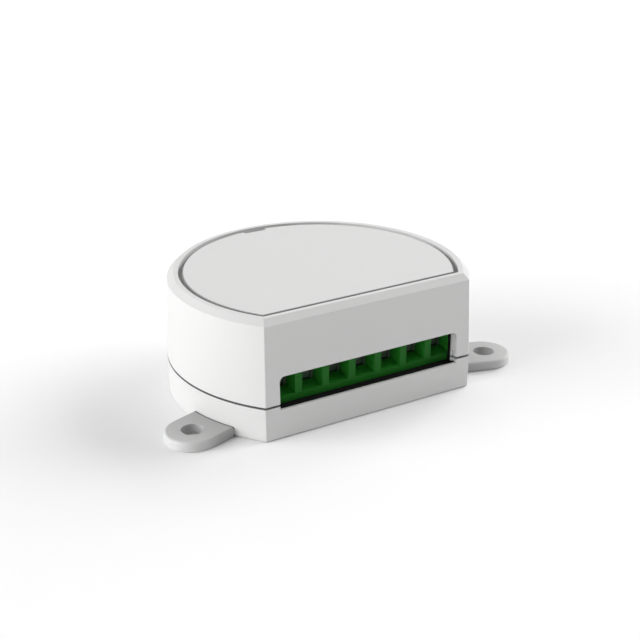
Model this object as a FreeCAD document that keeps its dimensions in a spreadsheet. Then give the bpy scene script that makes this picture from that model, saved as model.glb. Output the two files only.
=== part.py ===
import FreeCAD, Part
import math
import os
import re
import Sketcher
from FreeCAD import Vector

# Lighting control unit: a D-shaped plastic case with two screw ears, a lift-off lid,
# a seven pole screw terminal block behind a window in the flat front face, and the
# circuit board with relays, power supply and radio inside.
# Millimetres, +Z up, flat front face towards -Y, origin under the middle of the outline.

os.makedirs("parts", exist_ok=True)
doc = FreeCAD.newDocument("LightingControlUnit")

# Driving sizes: name, value, meaning
SIZES = [
    ("front_distance", 16.8, "centre of the round wall to the flat front face"),
    ("corner_room", 2.945, "terminal block's front corner to the outside of the round wall"),
    ("body_height", 20.35, "underside to rim"),
    ("parting_height", 5.9, "middle of the groove between the two shells"),
    ("parting_gap", 0.3, "height of that groove"),
    ("draft_angle", 2.2, "lean of the upper shell's walls, degrees"),
    ("corner_round", 0.2, "rounding of the two upright front corners"),
    ("chamfer_width", 1.03, "bevel round the rim, level"),
    ("chamfer_height", 0.95, "bevel round the rim, upright"),
    ("wall_thickness", 1.75, "round wall at the parting line"),
    ("front_wall", 1.4, "flat front wall at the parting line"),
    ("skin_thickness", 0.92, "outer layer of the wall beside the tongue"),
    ("tongue_gap", 0.1, "play between tongue and upper shell"),
    ("tongue_height", 1.1, "tongue above the parting line"),
    ("floor_thickness", 1.8, "bottom of the base"),
    ("base_chamfer", 0.3, "bevel round the underside"),
    ("rim_width", 0.8, "flat land between bevel and lid recess"),
    ("lid_gap", 0.72, "gap round the lid"),
    ("lid_drop", 0.1, "lid top below the rim"),
    ("lid_thickness", 1.4, "lid plate"),
    ("lid_edge", 0.35, "rounding of the lid's upper edge"),
    ("notch_width", 4.2, "pry notch in the lid's rear edge"),
    ("notch_depth", 0.88, "pry notch, front to back"),
    ("tab_length", 4.0, "lid locating tab, along X"),
    ("tab_thickness", 0.9, "lid locating tab, along Y"),
    ("tab_depth", 2.6, "lid locating tab below the plate"),
    ("tab_play", 0.15, "gap round a tab in its slot"),
    ("tab_spread", 8.0, "rear tabs from the middle"),
    ("tab_front_spread", 12.0, "front tabs from the middle"),
    ("tab_inset", 3.0, "rear tabs inside the lid's round edge"),
    ("deck_thickness", 1.5, "floor of the lid recess"),
    ("window_lap", 0.5, "end of the terminal block hidden beside the window"),
    ("window_step", 0.3, "narrowing of the window behind the skin"),
    ("window_top", 10.65, "upper edge of the window"),
    ("window_corner", 0.95, "rounding of the window's upper corners"),
    ("sill_drop", 0.8, "window sill below the parting line"),
    ("sill_relief", 0.75, "inner layer cut lower than the sill"),
    ("catch_width", 5.0, "snap bead along the wall"),
    ("catch_height", 0.5, "snap bead, upright"),
    ("catch_proud", 0.3, "snap bead out of the tongue"),
    ("catch_rise", 0.3, "snap bead above the parting line"),
    ("catch_play", 0.15, "room round a bead in its recess"),
    ("ear_land", 2.65, "round wall to the edge of an ear's hole"),
    ("ear_angle", 18.3, "ears forward of the X axis, degrees"),
    ("ear_radius", 4.5, "half width and end radius of an ear"),
    ("ear_thickness", 1.7, "ear plate"),
    ("ear_bite", 1.2, "ear root inside the round wall"),
    ("ear_edge", 0.4, "rounding of an ear's upper edge"),
    ("ear_foot", 0.2, "rounding of an ear's lower edge"),
    ("ear_hole_radius", 1.85, "hole for a 3.5 mm screw"),
    ("board_rise", 1.55, "floor of the base to the circuit board"),
    ("board_thickness", 1.6, "circuit board"),
    ("board_play", 0.45, "board edge to the round wall"),
    ("board_setback", 3.0, "front face to the board's front edge"),
    ("boss_radius", 2.4, "screw post under the board"),
    ("post_radius", 1.5, "rest post under the terminals"),
    ("post_spread", 7.5, "rest posts from the middle"),
    ("side_screw_inset", 1.88, "side board screws inside the board's edge"),
    ("side_screw_back", 8.1, "side board screws behind the front face"),
    ("rear_screw_inset", 1.8, "rear board screw inside the board's edge"),
    ("board_screw_radius", 0.95, "board screw thread"),
    ("pilot_play", 0.05, "board screw in its post"),
    ("board_screw_head", 1.5, "board screw head radius"),
    ("board_screw_head_height", 1.2, "board screw head"),
    ("board_screw_play", 0.2, "board screw in the board"),
    ("board_screw_bite", 2.4, "board screw below the board"),
    ("cross_length", 1.8, "cross recess in a board screw"),
    ("cross_depth", 0.6, "cross recess in a board screw"),
    ("pole_count", 7, "terminal poles"),
    ("pole_pitch", 5.0, "terminal spacing"),
    ("block_setback", 2.1, "front face to the terminal block"),
    ("block_depth", 8.0, "terminal block, front to back"),
    ("block_height", 10.0, "terminal block"),
    ("rib_width", 1.28, "rib between two wire pockets at the front"),
    ("pocket_depth", 2.5, "wire pocket, front to cage"),
    ("pocket_taper", 0.1, "narrowing of a pocket on each side"),
    ("pocket_lip", 1.31, "front lip of a pocket above the block's foot"),
    ("pocket_rise", 0.5, "rise of a pocket's floor"),
    ("pocket_top", 6.4, "top of a pocket above the block's foot"),
    ("shaft_floor", 1.0, "housing under a cage"),
    ("head_seat", 8.5, "ledge under a screw head above the block's foot"),
    ("head_radius", 1.85, "terminal screw head"),
    ("head_side_play", 0.3, "screw head in its bore"),
    ("head_height", 1.2, "terminal screw head"),
    ("head_play", 0.05, "screw head above its ledge, tip above the bar"),
    ("slot_width", 0.5, "driver slot"),
    ("slot_depth", 0.7, "driver slot"),
    ("thread_radius", 1.25, "terminal screw thread"),
    ("thread_play", 0.07, "thread clearance in the cage"),
    ("cage_width", 3.4, "clamp cage, along X"),
    ("cage_depth", 3.0, "clamp cage, front to back"),
    ("cage_side_play", 0.15, "cage to the shaft's sides"),
    ("cage_end_play", 0.125, "cage to the shaft's front and back"),
    ("cage_wall", 0.4, "side of a clamp cage"),
    ("cage_floor", 0.6, "bottom plate of a clamp cage"),
    ("cage_nut", 1.2, "threaded plate of a clamp cage"),
    ("cage_rest", 0.1, "cage above the housing floor when open"),
    ("cage_head_room", 0.15, "threaded plate above the bar when open"),
    ("wire_gap", 2.5, "clear height for a wire in an open cage"),
    ("bar_thickness", 0.6, "contact bar"),
    ("bar_width", 1.9, "contact bar"),
    ("bar_front_gap", 0.2, "cage front to the bar's front end"),
    ("bar_back_gap", 0.35, "cage back to the bar's leg"),
    ("bar_slot_play", 0.1, "room round the leg in the housing"),
    ("tail_width", 1.0, "solder tail"),
    ("tail_reach", 1.05, "solder tail below the board"),
    ("tail_hole_radius", 0.75, "board hole for a tail"),
    ("driver_hole_radius", 2.0, "screwdriver hole in the deck"),
    ("relay_side_room", 2.0, "relay's front corner to the round wall"),
    ("relay_head_room", 1.9, "relay to the deck"),
    ("relay_gap", 2.0, "between the relays"),
    ("relay_back_gap", 0.7, "terminal block to relays"),
    ("relay_edge", 0.5, "relay case bevel"),
    ("row_gap", 0.75, "between rows of parts on the board"),
    ("film_width", 5.0, "film capacitor"),
    ("film_head_room", 1.4, "film capacitor to the deck"),
    ("film_end", 2.5, "film capacitor inside the relay's outer end"),
    ("fuse_gap", 0.4, "fusible resistor to the film capacitor"),
    ("fuse_radius", 1.3, "fusible resistor"),
    ("fuse_height", 8.0, "fusible resistor"),
    ("varistor_gap", 0.6, "film capacitor to the varistor"),
    ("varistor_radius", 3.5, "varistor disc"),
    ("varistor_thickness", 3.4, "varistor disc"),
    ("varistor_leads", 3.5, "varistor leads, middle to middle"),
    ("lead_radius", 0.3, "wire lead"),
    ("lead_rise", 0.8, "part above the board on its leads"),
    ("choke_gap", 0.4, "varistor to the choke"),
    ("choke_radius", 2.6, "drum choke"),
    ("choke_height", 8.0, "drum choke"),
    ("choke_flange", 1.2, "drum choke's end flange"),
    ("choke_waist", 0.6, "winding inside the flange edge"),
    ("led_gap", 0.3, "choke to the light pipe's flange"),
    ("led_length", 2.0, "indicator lamp"),
    ("led_width", 1.25, "indicator lamp"),
    ("led_height", 0.8, "indicator lamp"),
    ("pipe_radius", 1.3, "light pipe"),
    ("pipe_flange_radius", 2.0, "light pipe flange"),
    ("pipe_flange_height", 1.0, "light pipe flange"),
    ("pipe_air", 0.5, "light pipe above the lamp"),
    ("pipe_play", 0.1, "light pipe in the deck"),
    ("switch_end", 2.6, "programming switch inside the relay's outer end"),
    ("switch_gap", 0.8, "light pipe's flange to the programming switch"),
    ("switch_width", 6.0, "programming switch"),
    ("switch_forward", 0.19, "programming switch nearer to the relays than its row"),
    ("switch_height", 3.5, "programming switch case"),
    ("plunger_radius", 1.75, "switch plunger"),
    ("plunger_play", 0.1, "switch plunger in its case"),
    ("plunger_rise", 0.8, "switch plunger above its case"),
    ("plunger_depth", 1.3, "switch plunger inside its case"),
    ("button_travel", 0.3, "press of the programming button"),
    ("button_radius", 1.5, "programming button"),
    ("button_play", 0.3, "programming button in the deck"),
    ("button_flange_radius", 2.3, "programming button's flange"),
    ("button_flange_height", 1.0, "programming button's flange"),
    ("button_drop", 0.15, "button top below the deck's face"),
    ("flange_play", 0.05, "button flange below its collar"),
    ("collar_radius", 2.7, "guide collar under the deck"),
    ("collar_height", 1.0, "guide collar under the deck"),
    ("core_length", 11.2, "transformer core, along X"),
    ("core_width", 4.4, "transformer core, front to back"),
    ("core_height", 9.0, "transformer core"),
    ("core_leg", 2.0, "outer leg of the core"),
    ("core_yoke", 2.0, "yoke of the core"),
    ("core_centre", 2.6, "middle leg of the core"),
    ("bobbin_overhang", 2.1, "bobbin outside the core, at the front and the back"),
    ("bobbin_gap", 0.3, "bobbin to the rear board screw's head"),
    ("bobbin_wall", 0.5, "transformer bobbin"),
    ("bobbin_play", 0.1, "bobbin to core"),
    ("coil_inset", 0.4, "winding inside the bobbin's flange"),
    ("core_lift", 0.9, "core above the board"),
    ("chip_gap", 0.7, "transformer core to the power chip"),
    ("chip_length", 3.0, "power chip"),
    ("chip_width", 3.0, "power chip"),
    ("chip_height", 1.5, "power chip"),
    ("bulk_radius", 3.15, "reservoir capacitor"),
    ("bulk_head_room", 1.4, "reservoir capacitor to the deck"),
    ("bulk_wall_gap", 0.75, "reservoir capacitor to the round wall"),
    ("bulk_angle", 46.0, "reservoir capacitor behind the X axis, degrees"),
    ("output_radius", 2.5, "output capacitor"),
    ("output_height", 7.0, "output capacitor"),
    ("output_wall_gap", 1.56, "output capacitor to the round wall"),
    ("output_angle", 63.6, "output capacitor behind the X axis, degrees"),
    ("can_bevel", 0.35, "capacitor can edge"),
    ("radio_core_gap", 1.3, "transformer core to the radio board's end"),
    ("radio_end", 0.9, "radio board's other end inside the switch"),
    ("radio_thickness", 1.0, "radio board"),
    ("radio_head_room", 0.9, "radio board to the antenna wire over it"),
    ("radio_back", 2.1, "switch to radio board"),
    ("radio_chip", 5.0, "radio chip"),
    ("radio_chip_shift", 1.35, "radio chip left of the radio board's middle"),
    ("radio_chip_height", 0.9, "radio chip"),
    ("crystal_shift", 3.6, "crystal right of the radio board's middle"),
    ("crystal_length", 3.2, "crystal"),
    ("crystal_width", 2.2, "crystal"),
    ("crystal_height", 0.8, "crystal"),
    ("antenna_inset", 2.45, "antenna wire inside the round wall"),
    ("antenna_radius", 0.4, "antenna wire"),
    ("antenna_head_room", 2.1, "antenna wire's middle to the deck"),
    ("antenna_start_angle", 20.0, "antenna's free end, degrees from the X axis"),
    ("antenna_sweep_angle", 38.0, "antenna's arc, degrees"),
    ("controller_width", 7.0, "controller chip"),
    ("controller_height", 1.1, "controller chip"),
    ("diode_length", 4.2, "rectifier diode"),
    ("diode_width", 2.6, "rectifier diode"),
    ("diode_height", 1.0, "rectifier diode"),
    ("diode_pitch_x", 6.0, "rectifier diodes along X"),
    ("diode_pitch_y", 4.5, "rectifier diodes along Y"),
]

# Measures that follow from the sizes, written once as formulas
DERIVED = {
    "block_half": "pole_pitch * pole_count / 2",
    "block_corner": "sqrt(block_half ^ 2 + (front_distance - block_setback) ^ 2)",
    "body_radius": "block_corner + corner_room",
    "centre_y": "(front_distance - body_radius) / 2",
    "front_y": "-(body_radius + front_distance) / 2",
    "base_top": "parting_height - parting_gap / 2",
    "shell_bottom": "parting_height + parting_gap / 2",
    "tongue_top": "parting_height + tongue_height",
    "rabbet_top": "tongue_top + tongue_gap",
    "shoulder_height": "body_height - chamfer_height",
    "shell_inset": "(shell_bottom - parting_height) * tan(draft_angle)",
    "shoulder_inset": "(shoulder_height - parting_height) * tan(draft_angle)",
    "crown_inset": "shoulder_inset + chamfer_width",
    "cavity_radius": "body_radius - wall_thickness",
    "cavity_front": "front_distance - front_wall",
    "rabbet_radius": "body_radius - skin_thickness",
    "rabbet_front": "front_distance - skin_thickness",
    "tongue_radius": "rabbet_radius - tongue_gap",
    "tongue_front": "rabbet_front - tongue_gap",
    "recess_radius": "body_radius - crown_inset - rim_width",
    "recess_front": "front_distance - crown_inset - rim_width",
    "lid_radius": "recess_radius - lid_gap",
    "lid_front": "recess_front - lid_gap",
    "lid_top": "body_height - lid_drop",
    "deck_top": "lid_top - lid_thickness",
    "deck_bottom": "deck_top - deck_thickness",
    "sill_height": "parting_height - sill_drop",
    "relief_height": "sill_height - sill_relief",
    "window_half": "block_half - window_lap",
    "window_inner": "window_half - window_step",
    "ear_reach": "body_radius + ear_land + ear_hole_radius",
    "board_bottom": "floor_thickness + board_rise",
    "board_top": "board_bottom + board_thickness",
    "board_radius": "cavity_radius - board_play",
    "board_front": "front_distance - board_setback",
    "block_front": "front_y + block_setback",
    "first_pole": "-pole_pitch * (pole_count - 1) / 2",
    "shaft_half": "cage_width / 2 + cage_side_play",
    "shaft_back": "pocket_depth + cage_depth + 2 * cage_end_play",
    "screw_y": "pocket_depth + cage_depth / 2 + cage_end_play",
    "head_bore_radius": "head_radius + head_side_play",
    "cage_low": "shaft_floor + cage_rest",
    "bar_low": "cage_low + cage_floor + wire_gap",
    "bar_high": "bar_low + bar_thickness",
    "nut_low": "bar_high + cage_head_room",
    "cage_high": "nut_low + cage_nut",
    "cage_front": "screw_y - cage_depth / 2",
    "leg_front": "screw_y + cage_depth / 2 + bar_back_gap",
    "leg_back": "leg_front + bar_thickness",
    "tail_y": "leg_front + bar_thickness / 2",
    "head_low": "head_seat + head_play",
    "block_back": "block_front + block_depth",
    "relay_front": "block_back + relay_back_gap",
    "relay_width": "coil_back - bobbin_width - film_width - 2 * row_gap - relay_front",
    "relay_y": "relay_front + relay_width / 2",
    "relay_end": "sqrt((cavity_radius - relay_side_room) ^ 2 - (centre_y - relay_front) ^ 2)",
    "relay_length": "relay_end - relay_gap / 2",
    "relay_x": "(relay_length + relay_gap) / 2",
    "relay_height": "deck_bottom - board_top - relay_head_room",
    "row_one": "relay_y + relay_width / 2 + row_gap",
    "switch_x": "relay_end - switch_end - switch_width / 2",
    "led_x": "switch_x - switch_width / 2 - switch_gap - pipe_flange_radius",
    "choke_x": "led_x - pipe_flange_radius - led_gap - choke_radius",
    "varistor_x": "choke_x - choke_radius - choke_gap - varistor_radius",
    "film_right": "varistor_x - varistor_radius - varistor_gap",
    "film_left": "film_end - relay_end",
    "film_length": "film_right - film_left",
    "film_x": "(film_left + film_right) / 2",
    "film_y": "row_one + film_width / 2",
    "film_height": "deck_bottom - board_top - film_head_room",
    "fuse_x": "film_left - fuse_gap - fuse_radius",
    "row_two": "row_one + film_width + row_gap",
    "switch_y": "row_one + switch_width / 2 - switch_forward",
    "radio_y": "switch_y + switch_width / 2 + radio_back",
    "radio_left": "core_length / 2 + radio_core_gap",
    "radio_right": "switch_x + switch_width / 2 - radio_end",
    "radio_length": "radio_right - radio_left",
    "radio_x": "(radio_left + radio_right) / 2",
    "radio_height": "antenna_height - antenna_radius - radio_head_room",
    "bobbin_width": "core_width + 2 * bobbin_overhang",
    "coil_back": "rear_screw_y - board_screw_head - bobbin_gap",
    "coil_y": "coil_back - bobbin_width / 2",
    "chip_x": "-core_length / 2 - chip_gap - chip_length / 2",
    "bulk_ring": "cavity_radius - bulk_radius - bulk_wall_gap",
    "bulk_x": "-bulk_ring * cos(bulk_angle)",
    "bulk_y": "centre_y + bulk_ring * sin(bulk_angle)",
    "bulk_height": "deck_bottom - board_top - bulk_head_room",
    "output_ring": "cavity_radius - output_radius - output_wall_gap",
    "output_x": "-output_ring * cos(output_angle)",
    "output_y": "centre_y + output_ring * sin(output_angle)",
    "pipe_low": "board_top + led_height + pipe_air",
    "side_screw_y": "front_y + side_screw_back",
    "side_screw_ring": "board_radius - side_screw_inset",
    "side_screw_x": "sqrt(side_screw_ring ^ 2 - (side_screw_y - centre_y) ^ 2)",
    "pilot_radius": "board_screw_radius + pilot_play",
    "board_hole_radius": "board_screw_radius + board_screw_play",
    "rear_screw_y": "centre_y + board_radius - rear_screw_inset",
    "button_top": "deck_top - button_drop",
    "collar_low": "deck_bottom - collar_height",
    "plunger_low": "board_top + switch_height - plunger_depth",
    "plunger_top": "board_top + switch_height + plunger_rise",
    "antenna_ring": "cavity_radius - antenna_inset",
    "antenna_height": "deck_bottom - board_top - antenna_head_room",
    "tab_rear_y": "sqrt(lid_radius ^ 2 - tab_spread ^ 2) - tab_inset",
    "tab_front_y": "block_back + relay_back_gap - centre_y",
}
MATHS = {"tan", "sin", "cos", "sqrt"}
PROFILE_ROUND = 20.0
PROFILE_FLAT = 15.0
TOUCH = 0.01

sheet = doc.addObject("Spreadsheet::Sheet", "Sizes")
for row, (alias, amount, meaning) in enumerate(SIZES, start=1):
    sheet.set(f"A{row}", alias)
    sheet.set(f"B{row}", str(amount))
    sheet.setAlias(f"B{row}", alias)
    sheet.set(f"C{row}", meaning)
doc.recompute()
POLES = int(sheet.get("pole_count"))
NODES = []


def formula(text):
    """Turn plain size names into cell references, with the derived measures written out."""
    def swap(match):
        word = match.group()
        if word in DERIVED:
            return "(" + formula(DERIVED[word]) + ")"
        return word if word in MATHS else "Sizes." + word
    return re.sub(r"[a-z][a-z_]*", swap, text)


def bind(thing, **formulas):
    """Tie properties to formulas over the sizes."""
    for key, text in formulas.items():
        thing.setExpression(key, formula(text))


def place(thing, x="0", y="0", z="0"):
    """Tie where a thing stands."""
    for axis, text in zip("xyz", (x, y, z)):
        thing.setExpression(f"Placement.Base.{axis}", formula(text))


def node(thing, label):
    """Name a finished piece and keep it for export."""
    thing.Label = label
    NODES.append(thing)
    return thing


# Part primitives and booleans

def box(name, length, width, height, x, y, z):
    """Block with its middle over x, y and its underside at z."""
    made = doc.addObject("Part::Box", name)
    bind(made, Length=length, Width=width, Height=height)
    place(made, f"{x} - ({length}) / 2", f"{y} - ({width}) / 2", z)
    return made


def cylinder(name, radius, height, x, y, z):
    """Upright cylinder on x, y with its underside at z."""
    made = doc.addObject("Part::Cylinder", name)
    bind(made, Radius=radius, Height=height)
    place(made, x, y, z)
    return made


def fuse(name, *pieces):
    made = doc.addObject("Part::MultiFuse", name)
    made.Shapes = list(pieces)
    return made


def group(name, *pieces):
    made = doc.addObject("Part::Compound", name)
    made.Links = list(pieces)
    return made


def cut(name, base, *tools):
    made = doc.addObject("Part::Cut", name)
    made.Base = base
    made.Tool = tools[0] if len(tools) == 1 else fuse(f"{name}_tools", *tools)
    return made


def bevelled(name, base, size, wanted):
    """Chamfer the edges of a primitive that the test picks."""
    doc.recompute()
    width = sheet.get(size)
    made = doc.addObject("Part::Chamfer", name)
    made.Base = base
    picked = [i for i, edge in enumerate(base.Shape.Edges, start=1) if wanted(edge, base.Shape)]
    made.Edges = [(i, width, width) for i in picked]
    return made


def at_top(edge, shape):
    """True for an edge that lies in the shape's upper face."""
    return edge.BoundBox.ZMin > shape.BoundBox.ZMax - TOUCH


# Part design bodies and sketches

def body(name, x="0", y="0", z="0"):
    made = doc.addObject("PartDesign::Body", name)
    place(made, x, y, z)
    return node(made, name)


def sketch(owner, name, role="XY_Plane", offset="0"):
    """Sketch on one of the body's own planes, moved along its normal."""
    made = owner.newObject("Sketcher::SketchObject", name)
    plane = next(f for f in owner.Origin.OriginFeatures if f.Role == role)
    made.AttachmentSupport = (plane, [""])
    made.MapMode = "FlatFace"
    made.setExpression(".AttachmentOffset.Base.z", formula(offset))
    return made


def tie(drawing, kind, geometry, point, text, start=1.0):
    """One dimension of a sketch, bound to a formula."""
    index = drawing.addConstraint(Sketcher.Constraint(kind, geometry, point, start))
    drawing.setExpression(f"Constraints[{index}]", formula(text))


def tie_radius(drawing, geometry, text, start=PROFILE_ROUND):
    index = drawing.addConstraint(Sketcher.Constraint("Radius", geometry, start))
    drawing.setExpression(f"Constraints[{index}]", formula(text))


def polygon(drawing, points):
    """Closed outline through points given as pairs of formulas."""
    count = len(points)
    turn = 2 * math.pi / count
    ring = [Vector(math.cos(turn * i), math.sin(turn * i), 0) for i in range(count)]
    first = drawing.GeometryCount
    for i in range(count):
        drawing.addGeometry(Part.LineSegment(ring[i], ring[(i + 1) % count]), False)
    for i in range(count):
        joint = (first + i, 2, first + (i + 1) % count, 1)
        drawing.addConstraint(Sketcher.Constraint("Coincident", *joint))
    for i, (x, y) in enumerate(points):
        tie(drawing, "DistanceX", first + i, 1, x)
        tie(drawing, "DistanceY", first + i, 1, y)


def rectangle(drawing, x0, y0, x1, y1):
    polygon(drawing, [(x0, y0), (x1, y0), (x1, y1), (x0, y1)])


def circle(drawing, radius, x, y):
    made = drawing.addGeometry(Part.Circle(Vector(0, 0, 0), Vector(0, 0, 1), 1.0), False)
    tie_radius(drawing, made, radius, 1.0)
    tie(drawing, "DistanceX", made, 3, x)
    tie(drawing, "DistanceY", made, 3, y)


def d_outline(drawing, radius, front):
    """Round outline about the sketch's origin, closed by a flat chord towards -Y."""
    lean = math.asin(PROFILE_FLAT / PROFILE_ROUND)
    half = math.sqrt(PROFILE_ROUND ** 2 - PROFILE_FLAT ** 2)
    ring = Part.Circle(Vector(0, 0, 0), Vector(0, 0, 1), PROFILE_ROUND)
    arc = drawing.addGeometry(Part.ArcOfCircle(ring, -lean, math.pi + lean), False)
    ends = (Vector(-half, -PROFILE_FLAT, 0), Vector(half, -PROFILE_FLAT, 0))
    chord = drawing.addGeometry(Part.LineSegment(*ends), False)
    drawing.addConstraint(Sketcher.Constraint("Coincident", arc, 3, -1, 1))
    drawing.addConstraint(Sketcher.Constraint("Coincident", arc, 2, chord, 1))
    drawing.addConstraint(Sketcher.Constraint("Coincident", arc, 1, chord, 2))
    drawing.addConstraint(Sketcher.Constraint("Horizontal", chord))
    tie_radius(drawing, arc, radius)
    tie(drawing, "DistanceY", chord, 1, f"-({front})")


def pad(owner, drawing, length):
    made = owner.newObject("PartDesign::Pad", f"{drawing.Name}_pad")
    made.Profile = drawing
    bind(made, Length=length)
    return made


def pocket(owner, drawing, length, forward=False):
    """Cut against the sketch's normal, or along it when forward is set."""
    made = owner.newObject("PartDesign::Pocket", f"{drawing.Name}_pocket")
    made.Profile = drawing
    made.Reversed = forward
    bind(made, Length=length)
    return made


def row_of_poles(owner, name, *features):
    """Repeat features of the first pole along the block."""
    made = owner.newObject("PartDesign::LinearPattern", name)
    made.Originals = list(features)
    axis = next(f for f in owner.Origin.OriginFeatures if f.Role == "X_Axis")
    made.Direction = (axis, [""])
    bind(made, Length="pole_pitch * (pole_count - 1)", Occurrences="pole_count")
    owner.Tip = made
    return made


def round_edges(owner, name, size, wanted):
    """Fillet the edges of the body that the test picks."""
    doc.recompute()
    base = owner.Tip
    picked = [f"Edge{i}" for i, e in enumerate(base.Shape.Edges, start=1) if wanted(e)]
    made = owner.newObject("PartDesign::Fillet", name)
    made.Base = (base, picked)
    bind(made, Radius=size)
    return made


def level(edge, height):
    return max(abs(edge.BoundBox.ZMin - height), abs(edge.BoundBox.ZMax - height)) < TOUCH


def at_front_corner(edge):
    """True for the upright edges where the flat front meets the round wall."""
    reach = edge.BoundBox
    return not level(edge, reach.ZMin) and reach.YMax < -sheet.get("front_distance") / 2


def pole_x(n):
    return f"pole_pitch * ({n} - (pole_count - 1) / 2)"


# Casing

def make_top_shell():
    """Upper shell: leaning walls, bevelled rim, lid recess with its deck, wire window."""
    shell = body("top_shell", y="centre_y")
    profile = sketch(shell, "shell_profile", "XZ_Plane")
    polygon(profile, [
        ("0", "shell_bottom"),
        ("body_radius - shell_inset", "shell_bottom"),
        ("body_radius - shoulder_inset", "shoulder_height"),
        ("body_radius - crown_inset", "body_height"),
        ("0", "body_height"),
    ])
    turned = shell.newObject("PartDesign::Revolution", "shell_turned")
    turned.Profile = profile
    turned.ReferenceAxis = (profile, ["V_Axis"])
    turned.Angle = 360
    face = sketch(shell, "shell_face", "YZ_Plane")
    polygon(face, [
        ("-front_distance + shell_inset", "shell_bottom"),
        ("-front_distance + shoulder_inset", "shoulder_height"),
        ("-front_distance + crown_inset", "body_height"),
        ("-body_radius * 2", "body_height"),
        ("-body_radius * 2", "shell_bottom"),
    ])
    flat = pocket(shell, face, "body_radius * 3")
    flat.SideType = "Symmetric"
    round_edges(shell, "shell_corners", "corner_round", at_front_corner)
    recess = sketch(shell, "lid_recess", offset="body_height")
    d_outline(recess, "recess_radius", "recess_front")
    pocket(shell, recess, "body_height - deck_top")
    cavity = sketch(shell, "shell_cavity", offset="shell_bottom")
    d_outline(cavity, "cavity_radius", "cavity_front")
    pocket(shell, cavity, "deck_bottom - shell_bottom", forward=True)
    rabbet = sketch(shell, "shell_rabbet", offset="shell_bottom")
    d_outline(rabbet, "rabbet_radius", "rabbet_front")
    pocket(shell, rabbet, "rabbet_top - shell_bottom", forward=True)
    catch = sketch(shell, "catch_recess", "YZ_Plane")
    rectangle(catch, "-catch_width / 2 - catch_play", "parting_height + catch_rise - catch_play",
              "catch_width / 2 + catch_play",
              "parting_height + catch_rise + catch_height + catch_play")
    grooves = pocket(shell, catch, "(tongue_radius + catch_proud + catch_play) * 2")
    grooves.SideType = "Symmetric"
    collar = sketch(shell, "button_collar", offset="collar_low")
    circle(collar, "collar_radius", "switch_x", "switch_y - centre_y")
    pad(shell, collar, "collar_height + deck_thickness / 2")
    inner = sketch(shell, "window_inner_layer", "XZ_Plane")
    window_outline(inner, "window_inner")
    pocket(shell, inner, "front_distance", forward=True)
    outer = sketch(shell, "window_skin", "XZ_Plane", "rabbet_front")
    window_outline(outer, "window_half")
    pocket(shell, outer, "skin_thickness", forward=True)
    holes = sketch(shell, "deck_holes", offset="deck_top")
    for n in range(POLES):
        circle(holes, "driver_hole_radius", pole_x(n), "block_front + screw_y - centre_y")
    circle(holes, "pipe_radius + pipe_play", "led_x", "switch_y - centre_y")
    for side in ("-", ""):
        for spread, y in (("tab_spread", "tab_rear_y"), ("tab_front_spread", "tab_front_y")):
            reach = "tab_length / 2 + tab_play"
            rectangle(holes, f"{side}{spread} - ({reach})", f"{y} - tab_thickness / 2 - tab_play",
                      f"{side}{spread} + {reach}", f"{y} + tab_thickness / 2 + tab_play")
    pocket(shell, holes, "deck_thickness")
    bore = sketch(shell, "button_bore", offset="deck_top")
    circle(bore, "button_radius + button_play", "switch_x", "switch_y - centre_y")
    pocket(shell, bore, "deck_top - collar_low")


def window_outline(drawing, half):
    """Wire window from the sill to its upper edge, with rounded upper corners."""
    reach = sheet.get("pole_pitch") * POLES / 2
    low = sheet.get("parting_height") - sheet.get("sill_drop")
    high = sheet.get("window_top")
    corner = sheet.get("window_corner")
    spots = [Vector(-reach, low, 0), Vector(reach, low, 0), Vector(reach, high - corner, 0),
             Vector(reach - corner, high, 0), Vector(corner - reach, high, 0),
             Vector(-reach, high - corner, 0)]
    sill = drawing.addGeometry(Part.LineSegment(spots[0], spots[1]), False)
    right = drawing.addGeometry(Part.LineSegment(spots[1], spots[2]), False)
    top = drawing.addGeometry(Part.LineSegment(spots[3], spots[4]), False)
    left = drawing.addGeometry(Part.LineSegment(spots[5], spots[0]), False)
    bends = []
    for middle, start in ((reach - corner, 0), (corner - reach, math.pi / 2)):
        ring = Part.Circle(Vector(middle, high - corner, 0), Vector(0, 0, 1), corner)
        arc = Part.ArcOfCircle(ring, start, start + math.pi / 2)
        bends.append(drawing.addGeometry(arc, False))
    drawing.addConstraint(Sketcher.Constraint("Coincident", sill, 2, right, 1))
    drawing.addConstraint(Sketcher.Constraint("Coincident", left, 2, sill, 1))
    drawing.addConstraint(Sketcher.Constraint("Tangent", right, 2, bends[0], 1))
    drawing.addConstraint(Sketcher.Constraint("Tangent", bends[0], 2, top, 1))
    drawing.addConstraint(Sketcher.Constraint("Tangent", top, 2, bends[1], 1))
    drawing.addConstraint(Sketcher.Constraint("Tangent", bends[1], 2, left, 1))
    for flat in (sill, top):
        drawing.addConstraint(Sketcher.Constraint("Horizontal", flat))
    for upright in (left, right):
        drawing.addConstraint(Sketcher.Constraint("Vertical", upright))
    drawing.addConstraint(Sketcher.Constraint("Equal", *bends))
    tie_radius(drawing, bends[0], "window_corner", corner)
    tie(drawing, "DistanceX", left, 1, f"-{half}", -reach)
    tie(drawing, "DistanceX", right, 1, half, reach)
    tie(drawing, "DistanceY", sill, 1, "sill_height", low)
    tie(drawing, "DistanceY", top, 1, "window_top", high)


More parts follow.
